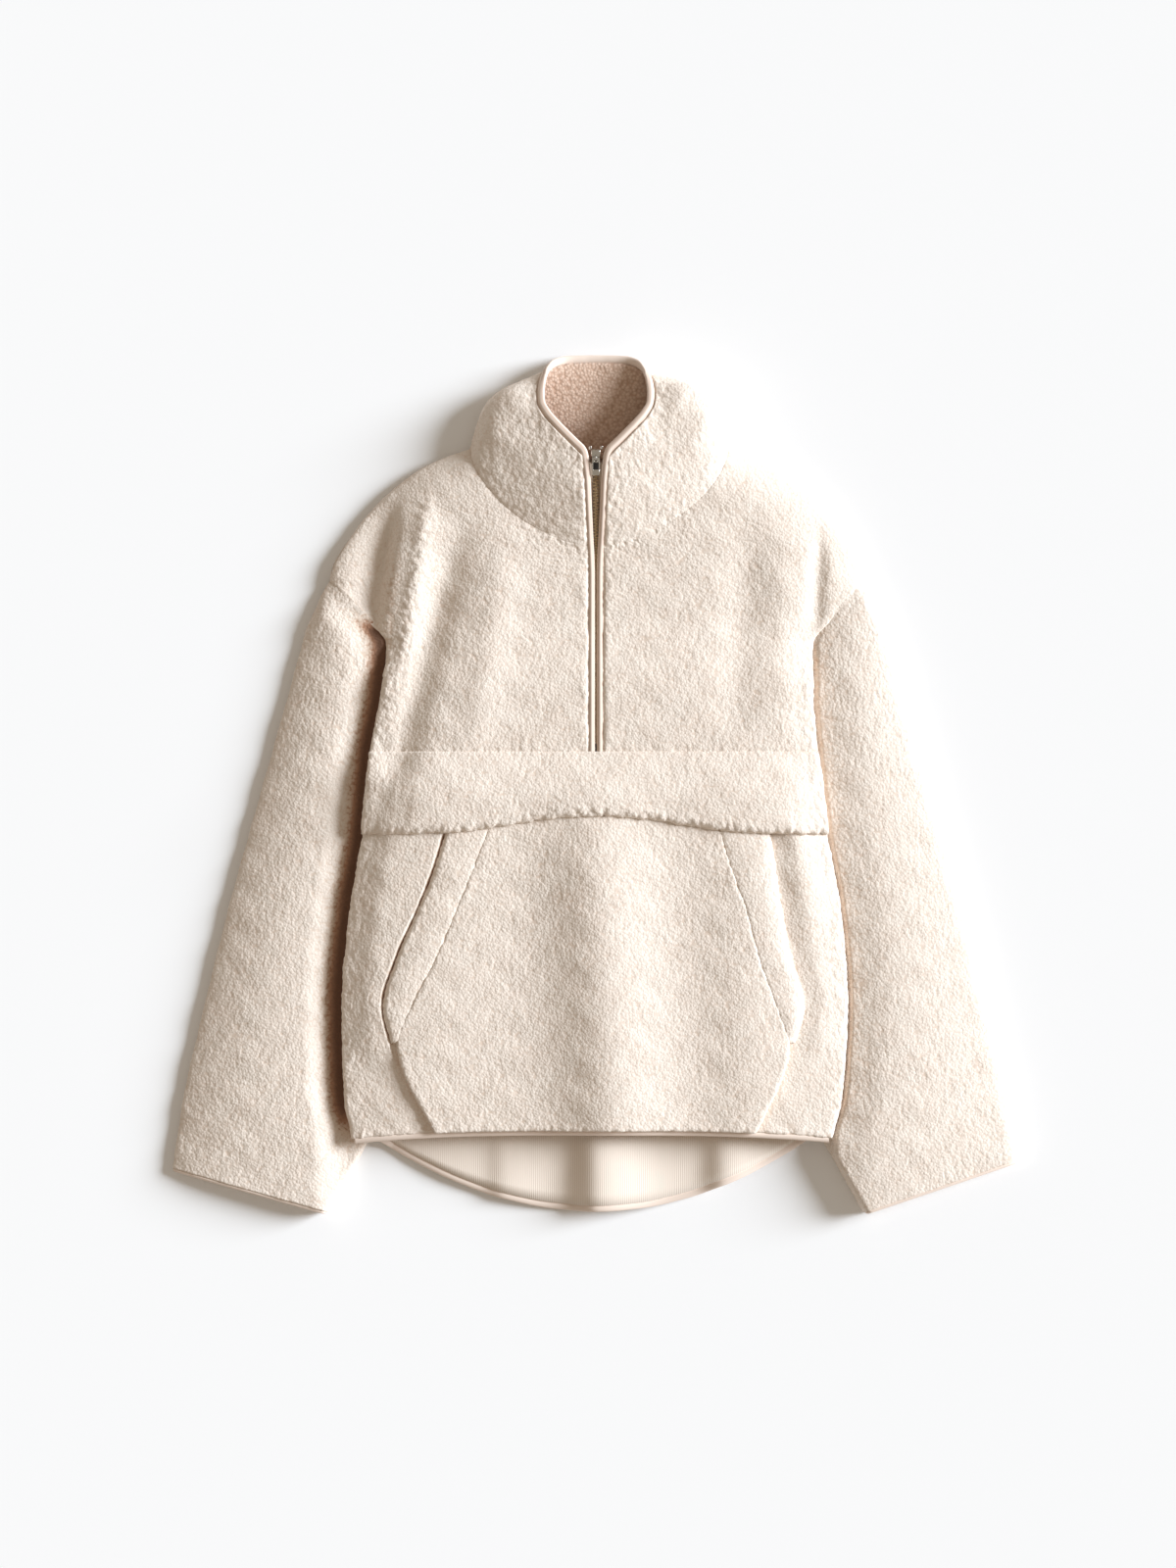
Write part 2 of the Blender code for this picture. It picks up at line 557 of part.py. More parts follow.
# ---- sleeves ----------------------------------------------------------------------------
def sleeve_skin(side, steps, inset):
    """One skin of a sleeve: for each section a closed ring, over the top from the free edge
    to the tucked edge and back along the ground. inset moves the skin inwards."""
    sections = smooth_table([(i, *row) for i, row in enumerate(SLEEVE)], steps)
    share = np.array(SLEEVE_TOP + SLEEVE_UNDER)
    is_top = np.arange(len(share)) < len(SLEEVE_TOP)
    outer, inner = sections[:, 0:2], sections[:, 2:4]
    if side > 0:
        outer[:, 1] += RIGHT_CUFF_LIFT * ease(steps - (len(SLEEVE) - 2))
    length = np.linalg.norm(inner - outer, axis=1)[:, None]
    edge = inset * 1.1 / length
    w = edge + (1 - 2 * edge) * share[None, :]
    plan = outer[:, None, :] * (1 - w[..., None]) + inner[:, None, :] * w[..., None]
    # The first ring follows the armhole's stations, and the next few leave them gradually.
    stations = np.array(ARMHOLE, float)
    seam_y = np.interp(w[0], ARMHOLE_SHARES, stations)
    body_x = outline_x(side, stations)
    seam_x = np.interp(w[0], ARMHOLE_SHARES, -side * body_x)
    seam_top = np.interp(w[0], ARMHOLE_SHARES, front_skin(body_x, stations)[0][:, 2] - GAP)
    seam_low = np.interp(w[0], ARMHOLE_SHARES, back_skin(body_x, stations)[0][:, 2])
    away = ease(steps)[:, None, None]
    underarm = -side * body_x[-1] - inner[0, 0]
    plan[..., 0] += underarm * w * (1 - ease(steps / 2.2))[:, None]
    plan = np.stack([seam_x, seam_y], -1)[None] * (1 - away) + plan * away
    ahead = -plan[..., 0] - np.abs(outline_x(side, plan[..., 1]))
    from_outer = w * length
    rise = rounding(1 - np.clip(from_outer / OUTER_REACH, 0, 1), 2.2)[0]
    slope = ease((ahead - 6) / INNER_SLOPE)
    edge_height = LAYERS / 2
    low = edge_height + (TUCK - edge_height) * rise
    top = low + (sections[:, 4][:, None] - TUCK) * rise * slope
    tip = rounding(1 - np.clip((1 - w) * length / (TUCK / 2), 0, 1), 2.0)[0]
    top = TUCK / 2 + (top - TUCK / 2) * tip
    under = edge_height * (1 - rounding(1 - np.clip(from_outer / 13, 0, 1), 2.0)[0])
    under = under + TUCK / 2 * (1 - tip)
    start = away[..., 0]
    z_top = seam_top * (1 - start) + top * start
    z_low = seam_low * (1 - start) + under * start
    middle = (z_top + z_low) / 2
    if inset:
        z_top = np.maximum(z_top - inset, np.minimum(middle + AIR / 2, z_top))
        z_low = np.minimum(z_low + inset, np.maximum(middle - AIR / 2, z_low))
    z = np.where(is_top[None, :], z_top, z_low)
    off_seam = np.array([side * 0.7, -0.72, 0]) * GAP
    return np.stack([-side * plan[..., 0], plan[..., 1], z], -1) + off_seam


def sleeve(side, word, parent):
    steps = np.concatenate([[0, 0.3, 0.65], np.linspace(1, len(SLEEVE) - 1, 11)])
    outer, inner = sleeve_skin(side, steps, 0.0), sleeve_skin(side, steps, PILE)
    wall(f"sleeve_{word}", outer, inner, "sherpa", parent, wrap=True)
    ring, before = (outer[-1] + inner[-1]) / 2, (outer[-2] + inner[-2]) / 2
    along = unit((ring - before).mean(0))
    width, thick = CUFF_BINDING
    path = ring + along * (GAP + width / 2)
    across = np.broadcast_to(along, ring.shape)
    out = unit(outer[-1] - inner[-1])
    strip(f"cuff_binding_{word}", path, across, out, width, thick, "binding", parent, closed=True)


# ---- collar -----------------------------------------------------------------------------
def collar_skins(left_foot, right_foot, back):
    """The collar's outer surface and its normals, from the left zip edge round the back to
    the right one. Its foot stands on the fronts' and the back's last rows of points."""
    share_front = COLLAR_SIDE_SHARE * (1 - NECK_SHARES)[::-1]
    half = (back.shape[0] + 1) // 2
    spread = np.abs(back[:, 0]) / np.where(back[:, 0] < 0, -back[0, 0], back[-1, 0])
    turn = np.arcsin(np.clip(spread, 0, 1)) / (math.pi / 2)
    share_back = 1 - (1 - COLLAR_SIDE_SHARE) * turn
    left = np.concatenate([share_front, share_back[1:half]])
    right = np.concatenate([share_back[half:-1], share_front[::-1]])
    share = np.concatenate([left, right])
    off = np.array([0, GAP + 0.1, 0])
    foot = np.concatenate([left_foot[::-1], back[1:-1], right_foot]) + off
    side = np.concatenate([np.full(len(left), -1.0), np.full(len(right), 1.0)])
    top = smooth_table(COLLAR_TOP, share)
    top[:, 0] *= -side
    rise = np.linspace(0, 1, COLLAR_ROWS)[:, None, None]
    skin_points = foot * (1 - rise) + top * rise
    normal = unit(np.cross(np.gradient(skin_points, axis=1), np.gradient(skin_points, axis=0)))
    if normal[2, 2, 2] < 0:
        normal = -normal
    bulge = BULGE_FRONT + (BULGE_SIDE - BULGE_FRONT) * np.exp(-(((share - 0.6) / 0.16) ** 2))
    bulge = bulge * ease((0.93 - share) / 0.2)
    swell = np.sin(math.pi * rise[..., 0] ** BULGE_HIGH) * bulge
    skin_points = skin_points + swell[..., None] * normal
    skin_points[..., 2] = np.maximum(skin_points[..., 2], 0)
    flat = ease((share - 0.78) / 0.16)[None, :, None]
    normal = unit(normal * (1 - flat) + np.array([0, 0, -1.0]) * flat)
    normal[0, :, 1] = np.minimum(normal[0, :, 1], 0)
    normal[0] = unit(normal[0])
    return skin_points, normal


def collar(left, right, back, parent):
    outer, normal = collar_skins(left, right, back)
    taper = np.array(COLLAR_TAPER)[:, None, None]
    inner = outer - PILE * taper * normal
    wall("collar", outer, inner, "sherpa", parent)
    lining = inner - LINING_GAP * normal
    wall("collar_lining", lining, lining - FLEECE * taper * normal, "fleece", parent)
    return outer, lining - FLEECE * taper * normal


# ---- zip and bindings -------------------------------------------------------------------
def centre_front(y, collar_points):
    """The line up the middle of the front and the collar, with its outward normals."""
    foot, top = collar_points[0, 0], collar_points[-1, 0]
    points, normals = front_skin(np.zeros_like(y), np.minimum(y, NECK_FRONT_Y))
    t = (y - foot[1]) / (top[1] - foot[1])
    rows = np.linspace(0, 1, COLLAR_ROWS)
    line = np.stack([np.interp(t, rows, collar_points[:, 0, k]) for k in (1, 2)], -1)
    on_collar = y > NECK_FRONT_Y
    points[:, 2] = np.where(on_collar, line[:, 1], points[:, 2])
    points[:, 1] = y
    slope = (top[2] - foot[2]) / (top[1] - foot[1])
    up = unit(np.array([0, -slope, 1.0]))
    share = ease((y - (NECK_FRONT_Y - 15)) / 30)[:, None]
    return points, unit(normals * (1 - share) + up * share)


def zip_pieces(collar_points, parent):
    lower = np.linspace(ZIP_FOOT_Y, NECK_FRONT_Y - 12, 9)
    y = np.concatenate([lower, [226, 243, 260, 277, SLIDER_Y - GAP]])
    line, up = centre_front(y, collar_points)
    across = np.broadcast_to([1.0, 0, 0], line.shape)
    width, thick = CHAIN
    strip("zip_chain", line - up * CHAIN_DEPTH, across, up, width, thick, "metal", parent)
    wide, thin = TAPE
    for side, word in ((-1, "left"), (1, "right")):
        shares = np.array([width / 2 + GAP, width / 2 + GAP + wide])[None, :, None]
        outer = (line - up * (CHAIN_DEPTH - thin / 2))[:, None, :]
        outer = outer + side * shares * np.array([1.0, 0, 0])
        wall(f"zip_tape_{word}", outer, outer - thin * up[:, None, :], "tape", parent)


def neck_binding(collar_points, lining_points, parent):
    """One piping: up the left of the zip, round the collar's top and down the right."""
    y = np.concatenate([np.linspace(ZIP_FOOT_Y, ZIP_PART_Y, 8), [226, 243, 260, 277, 289]])
    line, up = centre_front(y, collar_points)
    parted = np.interp(y, collar_points[:, 0, 1], -collar_points[:, 0, 0], left=ZIP_EDGE)
    near_edge = ease((y - ZIP_PART_Y + 14) / 26)
    left = line - up * 2.2
    left[:, 0] = -(BINDING_X * (1 - near_edge) + (parted - GAP - BINDING[0] / 2) * near_edge)
    width, thick = BINDING
    rim = (collar_points[-1] + lining_points[-1]) / 2
    below = (collar_points[-2] + lining_points[-2]) / 2
    lip_up = unit(collar_points[-1] - lining_points[-1])
    out = unit(np.cross(np.gradient(rim, axis=0), lip_up))
    out = out * np.sign((out * (rim - below)).sum(-1, keepdims=True))
    lip = rim + out * (GAP + thick / 2 + 0.5)
    lip[:, 2] = np.maximum(lip[:, 2], thick / 2 + 0.2)
    right, right_up = left[::-1] * [-1, 1, 1], up[::-1]
    lip[0], lip[-1] = rim[0] + ZIP_CORNER, rim[-1] + ZIP_CORNER * np.array([-1, 1, 1])
    path = np.concatenate([left, lip, right])
    lift = np.concatenate([up, lip_up, right_up])
    forward = unit(np.gradient(path, axis=0))
    across = unit(np.cross(forward, lift))
    lift = unit(np.cross(across, forward))
    count = len(y)
    wide = np.full(len(path), thick)
    wide[:count], wide[-count:] = width, width
    strip("neck_binding", path, across, lift, wide, thick, "binding", parent)


def hem_bindings(lower, lower_normals, back, back_normals, parent):
    width, thick = HEM_BINDING
    middle = lower[-1] - lower_normals[-1] * PILE / 2
    path = middle + np.array([0, -(GAP + width / 2), 0])
    down = np.broadcast_to([0, -1.0, 0], path.shape)
    keep = slice(1, -1)
    up = lower_normals[-1]
    strip("hem_binding_front", path[keep], down[keep], up[keep], width, thick, "binding", parent)
    middle = back[-1] - back_normals[-1] * PILE / 2
    along = unit(np.gradient(middle, axis=0))
    up = back_normals[-1]
    down = unit(np.cross(along, up))
    down = down * np.sign(-down[:, 1:2])
    path = middle + down * (GAP + width / 2)
    keep = slice(3, -3)
    strip("hem_binding_back", path[keep], down[keep], up[keep], width, thick, "binding", parent)


def box(low, high):
    (x0, y0, z0), (x1, y1, z1) = low, high
    corners = [(x, y, z) for z in (z0, z1) for y in (y0, y1) for x in (x0, x1)]
    sides = [(0, 2, 3, 1), (4, 5, 7, 6), (0, 1, 5, 4), (2, 6, 7, 3), (0, 4, 6, 2), (1, 3, 7, 5)]
    return corners, sides


def slider_and_pull(collar_points, parent):
    """A cast slider at the top of the zip, with a bail on top, and the pull tab that is
    hinged on the bail."""
    point, up = centre_front(np.array([SLIDER_Y]), collar_points)
    along = unit(np.cross(up[0], [1.0, 0, 0]))
    along = along if along[1] > 0 else -along
    turn = Matrix((Vector((1, 0, 0)), Vector(along), Vector(up[0]))).transposed().to_4x4()
    place = Matrix.Translation(Vector(point[0] * MM)) @ turn
    wide, long, tall = SLIDER
    low = -CHAIN_DEPTH - tall / 2
    bail_wide, bail_long, bail_tall = BAIL
    # Profile of the slider along the zip, body and bail, swept across in three widths.
    corners, faces = box((-wide / 2, 0, low), (wide / 2, long, low + tall))
    slider = add_object("zip_slider", corners, faces, "metal", parent)
    turn_outwards(slider.data)
    high = low + tall + bail_tall
    corners, faces = box((-bail_wide / 2, 1.5, low + tall - 1), (bail_wide / 2, 1.5 + bail_long, high))
    bail = add_object("bail_shape", corners, faces, "metal", parent)
    turn_outwards(bail.data)
    bail.hide_render, bail.display_type = True, "WIRE"
    join = slider.modifiers.new("bail", "BOOLEAN")
    join.operation, join.solver, join.object = "UNION", "EXACT", bail
    axis_y, axis_z = 1.5 + bail_long / 2, high + GAP + BARREL
    width, length, thick = PULL
    turns = [math.pi / 2 - math.pi * k / 6 for k in range(7)]
    profile = [(BARREL * math.cos(a), BARREL * math.sin(a)) for a in turns]
    profile += [(1.2 - length, -BARREL), (1.2 - length, -BARREL + thick), (-2.2, -BARREL + thick)]
    corners = [(x, axis_y + y, axis_z + z) for x in (-width / 2, width / 2) for y, z in profile]
    count = len(profile)
    faces = [list(range(count)), list(range(2 * count - 1, count - 1, -1))]
    faces += [[k, k + count, (k + 1) % count + count, (k + 1) % count] for k in range(count)]
    pull = add_object("zip_pull", corners, faces, "metal", parent)
    turn_outwards(pull.data)
    for made in (slider, bail, pull):
        made.data.transform(place)
    hinge = place @ Vector((0, axis_y * MM, axis_z * MM))
    pull.data.transform(Matrix.Translation(-hinge))
    pull.location = hinge


def main():
    for left_over in list(bpy.data.objects):
        bpy.data.objects.remove(left_over)
    garment = bpy.data.objects.new("garment", None)
    bpy.context.scene.collection.objects.link(garment)
    back, back_normals = back_grid()
    wall("back", back, back - PILE * back_normals, "sherpa", garment)
    left, _ = front_panel(-1, "front_left", garment)
    right, _ = front_panel(1, "front_right", garment)
    lower, lower_normals = lower_pieces(garment)
    for side, word in ((-1, "left"), (1, "right")):
        sleeve(side, word, garment)
    outer, inner = collar(left[0], right[0], back[0], garment)
    neck_binding(outer, inner, garment)
    hem_bindings(lower, lower_normals, back, back_normals, garment)
    zip_pieces(outer, garment)
    slider_and_pull(outer, garment)


main()
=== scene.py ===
"""The looks of a half-zip sherpa pullover that lies flat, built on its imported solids. Metres,
+Z up, +Y towards the collar, the zip on X = 0. Lengths are in millimetres until a mesh is
made. The file follows the garment as it is sewn: back, fronts, flap and pocket, sleeves,
collar, bindings, zip, and then the floor, light and camera."""

import math

import bpy
import numpy as np
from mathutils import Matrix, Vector


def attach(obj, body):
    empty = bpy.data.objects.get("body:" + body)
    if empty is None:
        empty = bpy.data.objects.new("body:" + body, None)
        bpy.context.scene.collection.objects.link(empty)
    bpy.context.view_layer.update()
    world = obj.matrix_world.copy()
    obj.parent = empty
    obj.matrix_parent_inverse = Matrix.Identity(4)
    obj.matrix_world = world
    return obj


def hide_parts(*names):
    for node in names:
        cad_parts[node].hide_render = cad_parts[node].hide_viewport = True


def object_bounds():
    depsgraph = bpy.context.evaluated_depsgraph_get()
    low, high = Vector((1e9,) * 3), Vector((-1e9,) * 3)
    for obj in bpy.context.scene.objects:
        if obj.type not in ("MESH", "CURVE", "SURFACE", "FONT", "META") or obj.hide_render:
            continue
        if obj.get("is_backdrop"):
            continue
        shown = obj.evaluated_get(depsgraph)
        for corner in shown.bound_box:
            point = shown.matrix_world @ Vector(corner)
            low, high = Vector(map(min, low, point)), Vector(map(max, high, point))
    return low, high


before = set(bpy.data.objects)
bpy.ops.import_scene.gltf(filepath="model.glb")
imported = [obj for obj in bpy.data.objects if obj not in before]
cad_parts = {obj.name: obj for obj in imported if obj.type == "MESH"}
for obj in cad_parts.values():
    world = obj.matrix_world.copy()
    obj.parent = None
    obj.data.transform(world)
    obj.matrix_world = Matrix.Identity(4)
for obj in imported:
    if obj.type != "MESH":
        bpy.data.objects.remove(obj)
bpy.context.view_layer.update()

# ==== Back ================================================================================
# One panel of sherpa cloth from the neck to a curved tail, cut on the fold. Polyester pile is
# knitted into a ribbed ground, so the outside is curls and the inside is fine ribs. It lies
# on the ground, over the tucked edges of the sleeves, and its tail shows its ribbed inside.
MM = 0.001
PILE = 5.0  # thickness of the cloth, ground and pile together
GAP = 0.3  # air between pieces that lie on or beside each other
LAYERS = 2 * PILE + 0.5  # two layers that lie on each other
UNDERARM_Y = 131.0
# Sections of the body: station, outline on the left and right, height of the side's fold,
# how far front and back part there (at the armhole), and how far the front stands off
BODY = (
    (309, -115, 121, 9.5, 0, 13),
    (296, -151, 154, 8.5, 0, 13),
    (270, -188, 193, 7.5, 0, 12),
    (236, -219, 222, 6.5, 0, 11),
    (190, -244, 244, 6, 0, 10),
    (180, -235, 238, 6, 0.6, 10),
    (168, -224, 227, 6, 1, 10),
    (148, -205, 211, 8, 1, 10),
    (139, -196, 203, 10, 0.6, 10),
    (UNDERARM_Y, -192, 199, 12, 0, 10),
    (85, -196, 199, 24, 0, 9),
    (31, -206, 203, 24, 0, 9),
    (-42, -213, 211, 24, 0, 8),
    (-110, -224, 223, 24, 0, 8),
    (-200, -232, 230, 24, 0, 8),
    (-280, -230, 225, 24, 0, 6),
    (-326, -222, 215, 24, 0, 5),
    (-400, -222, 215, 24, 0, 5),
)
ARMHOLE = (190, 180, 168, 148, 139, UNDERARM_Y)
# Sections of a sleeve, as on the left: free edge, tucked edge, height of its top
SLEEVE = (
    (-244, 190, -192, UNDERARM_Y, 15),
    (-263, 150, -191, 96, 17),
    (-283, 80, -163, 38, 19),
    (-307, -5, -147, -40, 20),
    (-335, -105, -150, -135, 21.5),
    (-360, -205, -171, -235, 23.5),
    (-378, -285, -202, -312, 24.5),
    (-388, -350, -245, -390, 20),
)
TUCK = LAYERS + GAP  # height of a sleeve where the body lies on it
LIFT = TUCK + 0.7  # how far the body rides up over the tucked sleeves
TAIL_REACH = 26.0  # width of the back's slope up to the tucked sleeves
TUCK_RISE = 36.0  # length of that slope below the underarm
SIDE_ROLL = 2.4  # how far the front turns down to its side seams
BACK_ROLL = SIDE_ROLL + 1.2  # and how far the back does
BACK_REACH, BACK_POWER = 8.0, 2.0  # width and roundness of the back's turn at its sides
TAIL_START, TAIL_FADE = -292, 40  # where the tail's waves start, and over what length
# Waves of the tail: x, width on the left and on the right, height
TAIL_WAVES = ((-140, 40, 50, 2.5), (-84, 12, 34, 3.2), (1, 18, 42, 12.5), (118, 14, 32, 7.0))
# Where each row of the back starts at its side, and where it crosses the middle
BACK_ROWS = (
    (309, 300), (296, 287), (270, 264), (236, 233), *((y, y) for y in ARMHOLE),
    (85, 85), (31, 31), (-42, -42), (-110, -116), (-170, -184), (-218, -238),
    (-256, -286), (-276, -316), (-288, -340), (-296, -363), (-300, -384),
)
BACK_COLUMNS = 27
# The columns of one half: distances from the side, then from the sleeve's tucked edge, and
# shares of what is left up to the middle
FROM_SIDE, FROM_TUCK = np.array([0, 0.7, 2.0, 5.0, 9.0]), np.array([0, 9, 18, 27])
TO_MIDDLE = np.array([0.26, 0.52, 0.77])
EDGE_CLEAR, EDGE_CLEAR_NECK = 20, 9  # least from the side to the tuck's columns; more at the neck
TAIL_CURVE = (2.05, 1.05)  # powers of the superellipse that the rows follow
BACK_STEP = 2.3  # distance between the back's points
NECK_TURN, TAIL_TURN = (2.0, 5, 0.5), (1.6, 4, 0.5)  # depth, reach and spread of turned edges
CLUMP_JITTER = 0.86  # how much of its cube's width a clump's centre may lie in
CLUMP_SPAN = 0.62  # squared distance at which a clump ends, in cubes
SMALL_CURLS, TINY_CURLS, MATTED_CURLS = 5.4, 4.0, 6.2  # distances between clumps of pile
CURL_RELIEF, MATTED_RELIEF = 0.6, 3.4  # from the creases to the tips


def smooth_table(rows, at):
    """Rows read as smooth curves of their first column: monotone cubics, so that no curve
    overshoots its rows."""
    rows = np.array(rows, float)
    rows = rows[np.argsort(rows[:, 0])]
    x, values = rows[:, 0], rows[:, 1:]
    step = np.diff(x)[:, None]
    slope = np.diff(values, axis=0) / step
    before, after = slope[:-1], slope[1:]
    same_way = before * after > 0
    mean = 2 * before * after / np.where(same_way, before + after, 1)
    tangent = np.vstack([slope[:1], np.where(same_way, mean, 0), slope[-1:]])
    at = np.clip(np.asarray(at, float), x[0], x[-1])
    i = np.clip(np.searchsorted(x, at) - 1, 0, len(x) - 2)
    width = (x[i + 1] - x[i])[..., None]
    t = (at[..., None] - x[i][..., None]) / width
    return (
        values[i] * (1 + 2 * t) * (1 - t) ** 2
        + tangent[i] * width * t * (1 - t) ** 2
        + values[i + 1] * t**2 * (3 - 2 * t)
        + tangent[i + 1] * width * t**2 * (t - 1)
    )


def ease(t):
    """0 up to t = 0 and 1 from t = 1, with the smooth cubic 3 t^2 - 2 t^3 between them."""
    t = np.clip(t, 0, 1)
    return t * t * (3 - 2 * t)


def unit(v):
    """Each vector divided by its length."""
    return v / np.maximum(np.linalg.norm(v, axis=-1, keepdims=True), 1e-9)


def quarter(q, power):
    """A quarter superellipse that falls from 1 at q = 0 to 0 at q = 1."""
    return (1 - np.clip(q, 0, 1) ** power) ** (1 / power)


def outline_x(side, y):
    """x of the body's outline at y, on the left (-1) or on the right (1)."""
    return smooth_table(BODY, y)[..., 1 if side > 0 else 0]


def tucked_edge(y):
    """How far from the middle the sleeves' tucked edges lie at y."""
    return np.abs(smooth_table([(row[3], row[2]) for row in SLEEVE], y)[..., 0])


def back_rest(x, y):
    """Height of the back's underside: the ground, the tucked sleeves, the tail's waves."""
    tucked = ease((np.abs(x) - (tucked_edge(y) - TAIL_REACH)) / (TAIL_REACH - 2))
    waves = sum(
        h * np.exp(-(((x - at) / np.where(x < at, left, right)) ** 2))
        for at, left, right, h in TAIL_WAVES
    )
    tail = ease((TAIL_START - y) / TAIL_FADE)
    return LIFT * tucked * ease((UNDERARM_Y - y) / TUCK_RISE) + waves * tail


def below_arms(y):
    """0 above the underarm and 1 from 12 mm below it."""
    return ease((UNDERARM_Y - y) / 12)


def skin_height(x, y, rest, reach, power, less=0.0):
    """rest(x, y), rounded within reach of the body's outline to the height of its fold, or
    less than that below the arms."""
    here = smooth_table(BODY, y)
    slope = smooth_table(BODY, y + 0.5) - smooth_table(BODY, y - 0.5)
    right = x > (here[..., 0] + here[..., 1]) / 2
    bound = np.where(right, here[..., 1], here[..., 0])
    lean = np.where(right, slope[..., 1], slope[..., 0])
    from_side = np.where(right, bound - x, x - bound)
    fall = quarter(1 - from_side / (reach * np.sqrt(1 + lean**2)), power)
    height = rest(x, y)
    edge = here[..., 2] + (height - here[..., 2]) * np.clip(here[..., 3], 0, 1)
    edge = edge - less * below_arms(y)
    return edge + (height - edge) * fall


def refine(grid, row_step, column_step, every=4):
    """A finer grid through a coarse one's points, by smooth curves down it and across it.
    Each span gets a multiple of every steps, about as long as asked."""
    for step in (row_step, column_step):
        length = np.linalg.norm(np.diff(grid, axis=0), axis=-1).mean(-1)
        count = every * np.maximum(1, np.round(length / (np.asarray(step) * every))).astype(int)
        places = [i + np.arange(n) / n for i, n in enumerate(count)]
        places = np.concatenate([*places, [len(grid) - 1]])
        table = np.column_stack([np.arange(len(grid)), grid.reshape(len(grid), -1)])
        fine = smooth_table(table, places).reshape(len(places), *grid.shape[1:])
        grid = fine.swapaxes(0, 1)
    return grid


def normals_of(points, wrap=False):
    """Unit normals of a grid of points, from its slopes along columns and rows."""
    if wrap:
        points = np.concatenate([points[:, -1:], points, points[:, :1]], 1)
    normal = unit(np.cross(np.gradient(points, axis=1), np.gradient(points, axis=0)))
    return normal[:, 1:-1] if wrap else normal


def from_sides(points):
    """How far each point of a grid lies, along the cloth, from its first row, last row,
    first column and last column."""
    down = np.zeros(points.shape[:2])
    down[1:] = np.cumsum(np.linalg.norm(np.diff(points, axis=0), axis=-1), 0)
    along = np.zeros(points.shape[:2])
    along[:, 1:] = np.cumsum(np.linalg.norm(np.diff(points, axis=1), axis=-1), 1)
    return down, down[-1:] - down, along, along[:, -1:] - along


def rolled(points, normal, *sides):
    """The points turned down at the given sides of the grid: sunk along their normals on a
    quarter circle, and spread past the side, so that they meet their neighbour in a groove.
    sides holds for each side None or (depth, reach, spread)."""
    steps = np.gradient(points, axis=0), np.gradient(points, axis=1)
    outward = -steps[0], steps[0], -steps[1], steps[1]
    sink, moved = np.zeros((*points.shape[:2], 1)), 0
    for distance, turn, away in zip(from_sides(points), sides, outward, strict=True):
        if turn:
            depth, reach, spread = turn
            near = (1 - np.clip(distance / reach, 0, 1))[..., None]
            sink = np.maximum(sink, depth * (1 - quarter(near, 2)))
            moved = moved + unit(away) * spread * near
    return points + moved - normal * sink


def scattered(cells):
    """Three even random numbers from 0 to 1 for each whole-numbered cell, always the same
    ones: a sum of large odd multiples, folded on itself and multiplied again."""
    mixed = (cells.astype(np.int64) * [73856093, 19349663, 83492791]).sum(-1)
    mixed = mixed.astype(np.uint64) & 0xFFFFFFFF
    found = []
    for odd in (0x9E3779B1, 0x85EBCA77, 0xC2B2AE3D):
        mixed = ((mixed ^ (mixed >> np.uint64(15))) * np.uint64(odd)) & 0xFFFFFFFF
        mixed = mixed ^ (mixed >> np.uint64(13))
        found.append(mixed / 2.0**32)
    return np.stack(found, -1)


def clumps(points, size):
    """Rounded clumps about size apart, from 0 in the creases between them to 1: one less the
    squared distance to the nearest of scattered centres, one to each cube of space."""
    at = points / size
    base = np.floor(at - 0.5)
    nearest = np.full(at.shape[:-1], 9.0)
    for corner in np.ndindex(2, 2, 2):
        cell = base + corner
        centre = cell + 0.5 + (scattered(cell) - 0.5) * CLUMP_JITTER
        nearest = np.minimum(nearest, ((at - centre) ** 2).sum(-1))
    return np.clip(1 - nearest / CLUMP_SPAN, 0, 1)


def drift(points, size):
    """Slow waves from -1 to 1 in three directions, about size long, for warping patterns."""
    turned = points[..., [1, 2, 0]] * (2 * math.pi / size)
    return np.sin(turned + np.sin(turned[..., [2, 0, 1]] * 0.7 + 1.3) * 1.4)


def curls(points, coarse=0.0):
    """The pile at each point: its tone, from 0 in the creases to 1 on the tips, and how far
    it stands out. The creases' low tone is partly the pile's own and partly painted shade.
    coarse, from 0 to 1, matts the fine clumps into large ones, which stand out further, as
    they do along edges and seams."""
    warped = points + drift(points, 17.0) * 1.1 + drift(points[..., [2, 0, 1]], 6.3) * 0.4
    small, tiny = clumps(warped, SMALL_CURLS), clumps(warped + 31.0, TINY_CURLS)
    tone = small * 0.5 + tiny * 0.5
    lift = (tone - 0.45) * CURL_RELIEF
    if np.max(coarse) > 0:
        large = clumps(warped + 17.0, MATTED_CURLS) * 0.8 + tiny * 0.2
        lift = lift * (1 - coarse) + (large - 0.35) * MATTED_RELIEF * coarse
        tone = tone * (1 - coarse) + (0.25 + 0.75 * large) * coarse
    uneven = drift(points, 43.0)[..., 0] * 0.25
    uneven = uneven + drift(points[..., [1, 2, 0]], 23.0)[..., 0] * 0.12
    return np.stack([tone, lift + uneven], -1)


def grid_quads(rows, columns, wrap):
    """Four corners of each cell of a grid, numbered row by row. wrap joins its last column
    to its first."""
    r, c = np.meshgrid(np.arange(rows - 1), np.arange(columns - (not wrap)), indexing="ij")
    d = (c + 1) % columns
    first, second = r * columns, (r + 1) * columns
    return np.stack([first + c, first + d, second + d, second + c], -1).reshape(-1, 4)


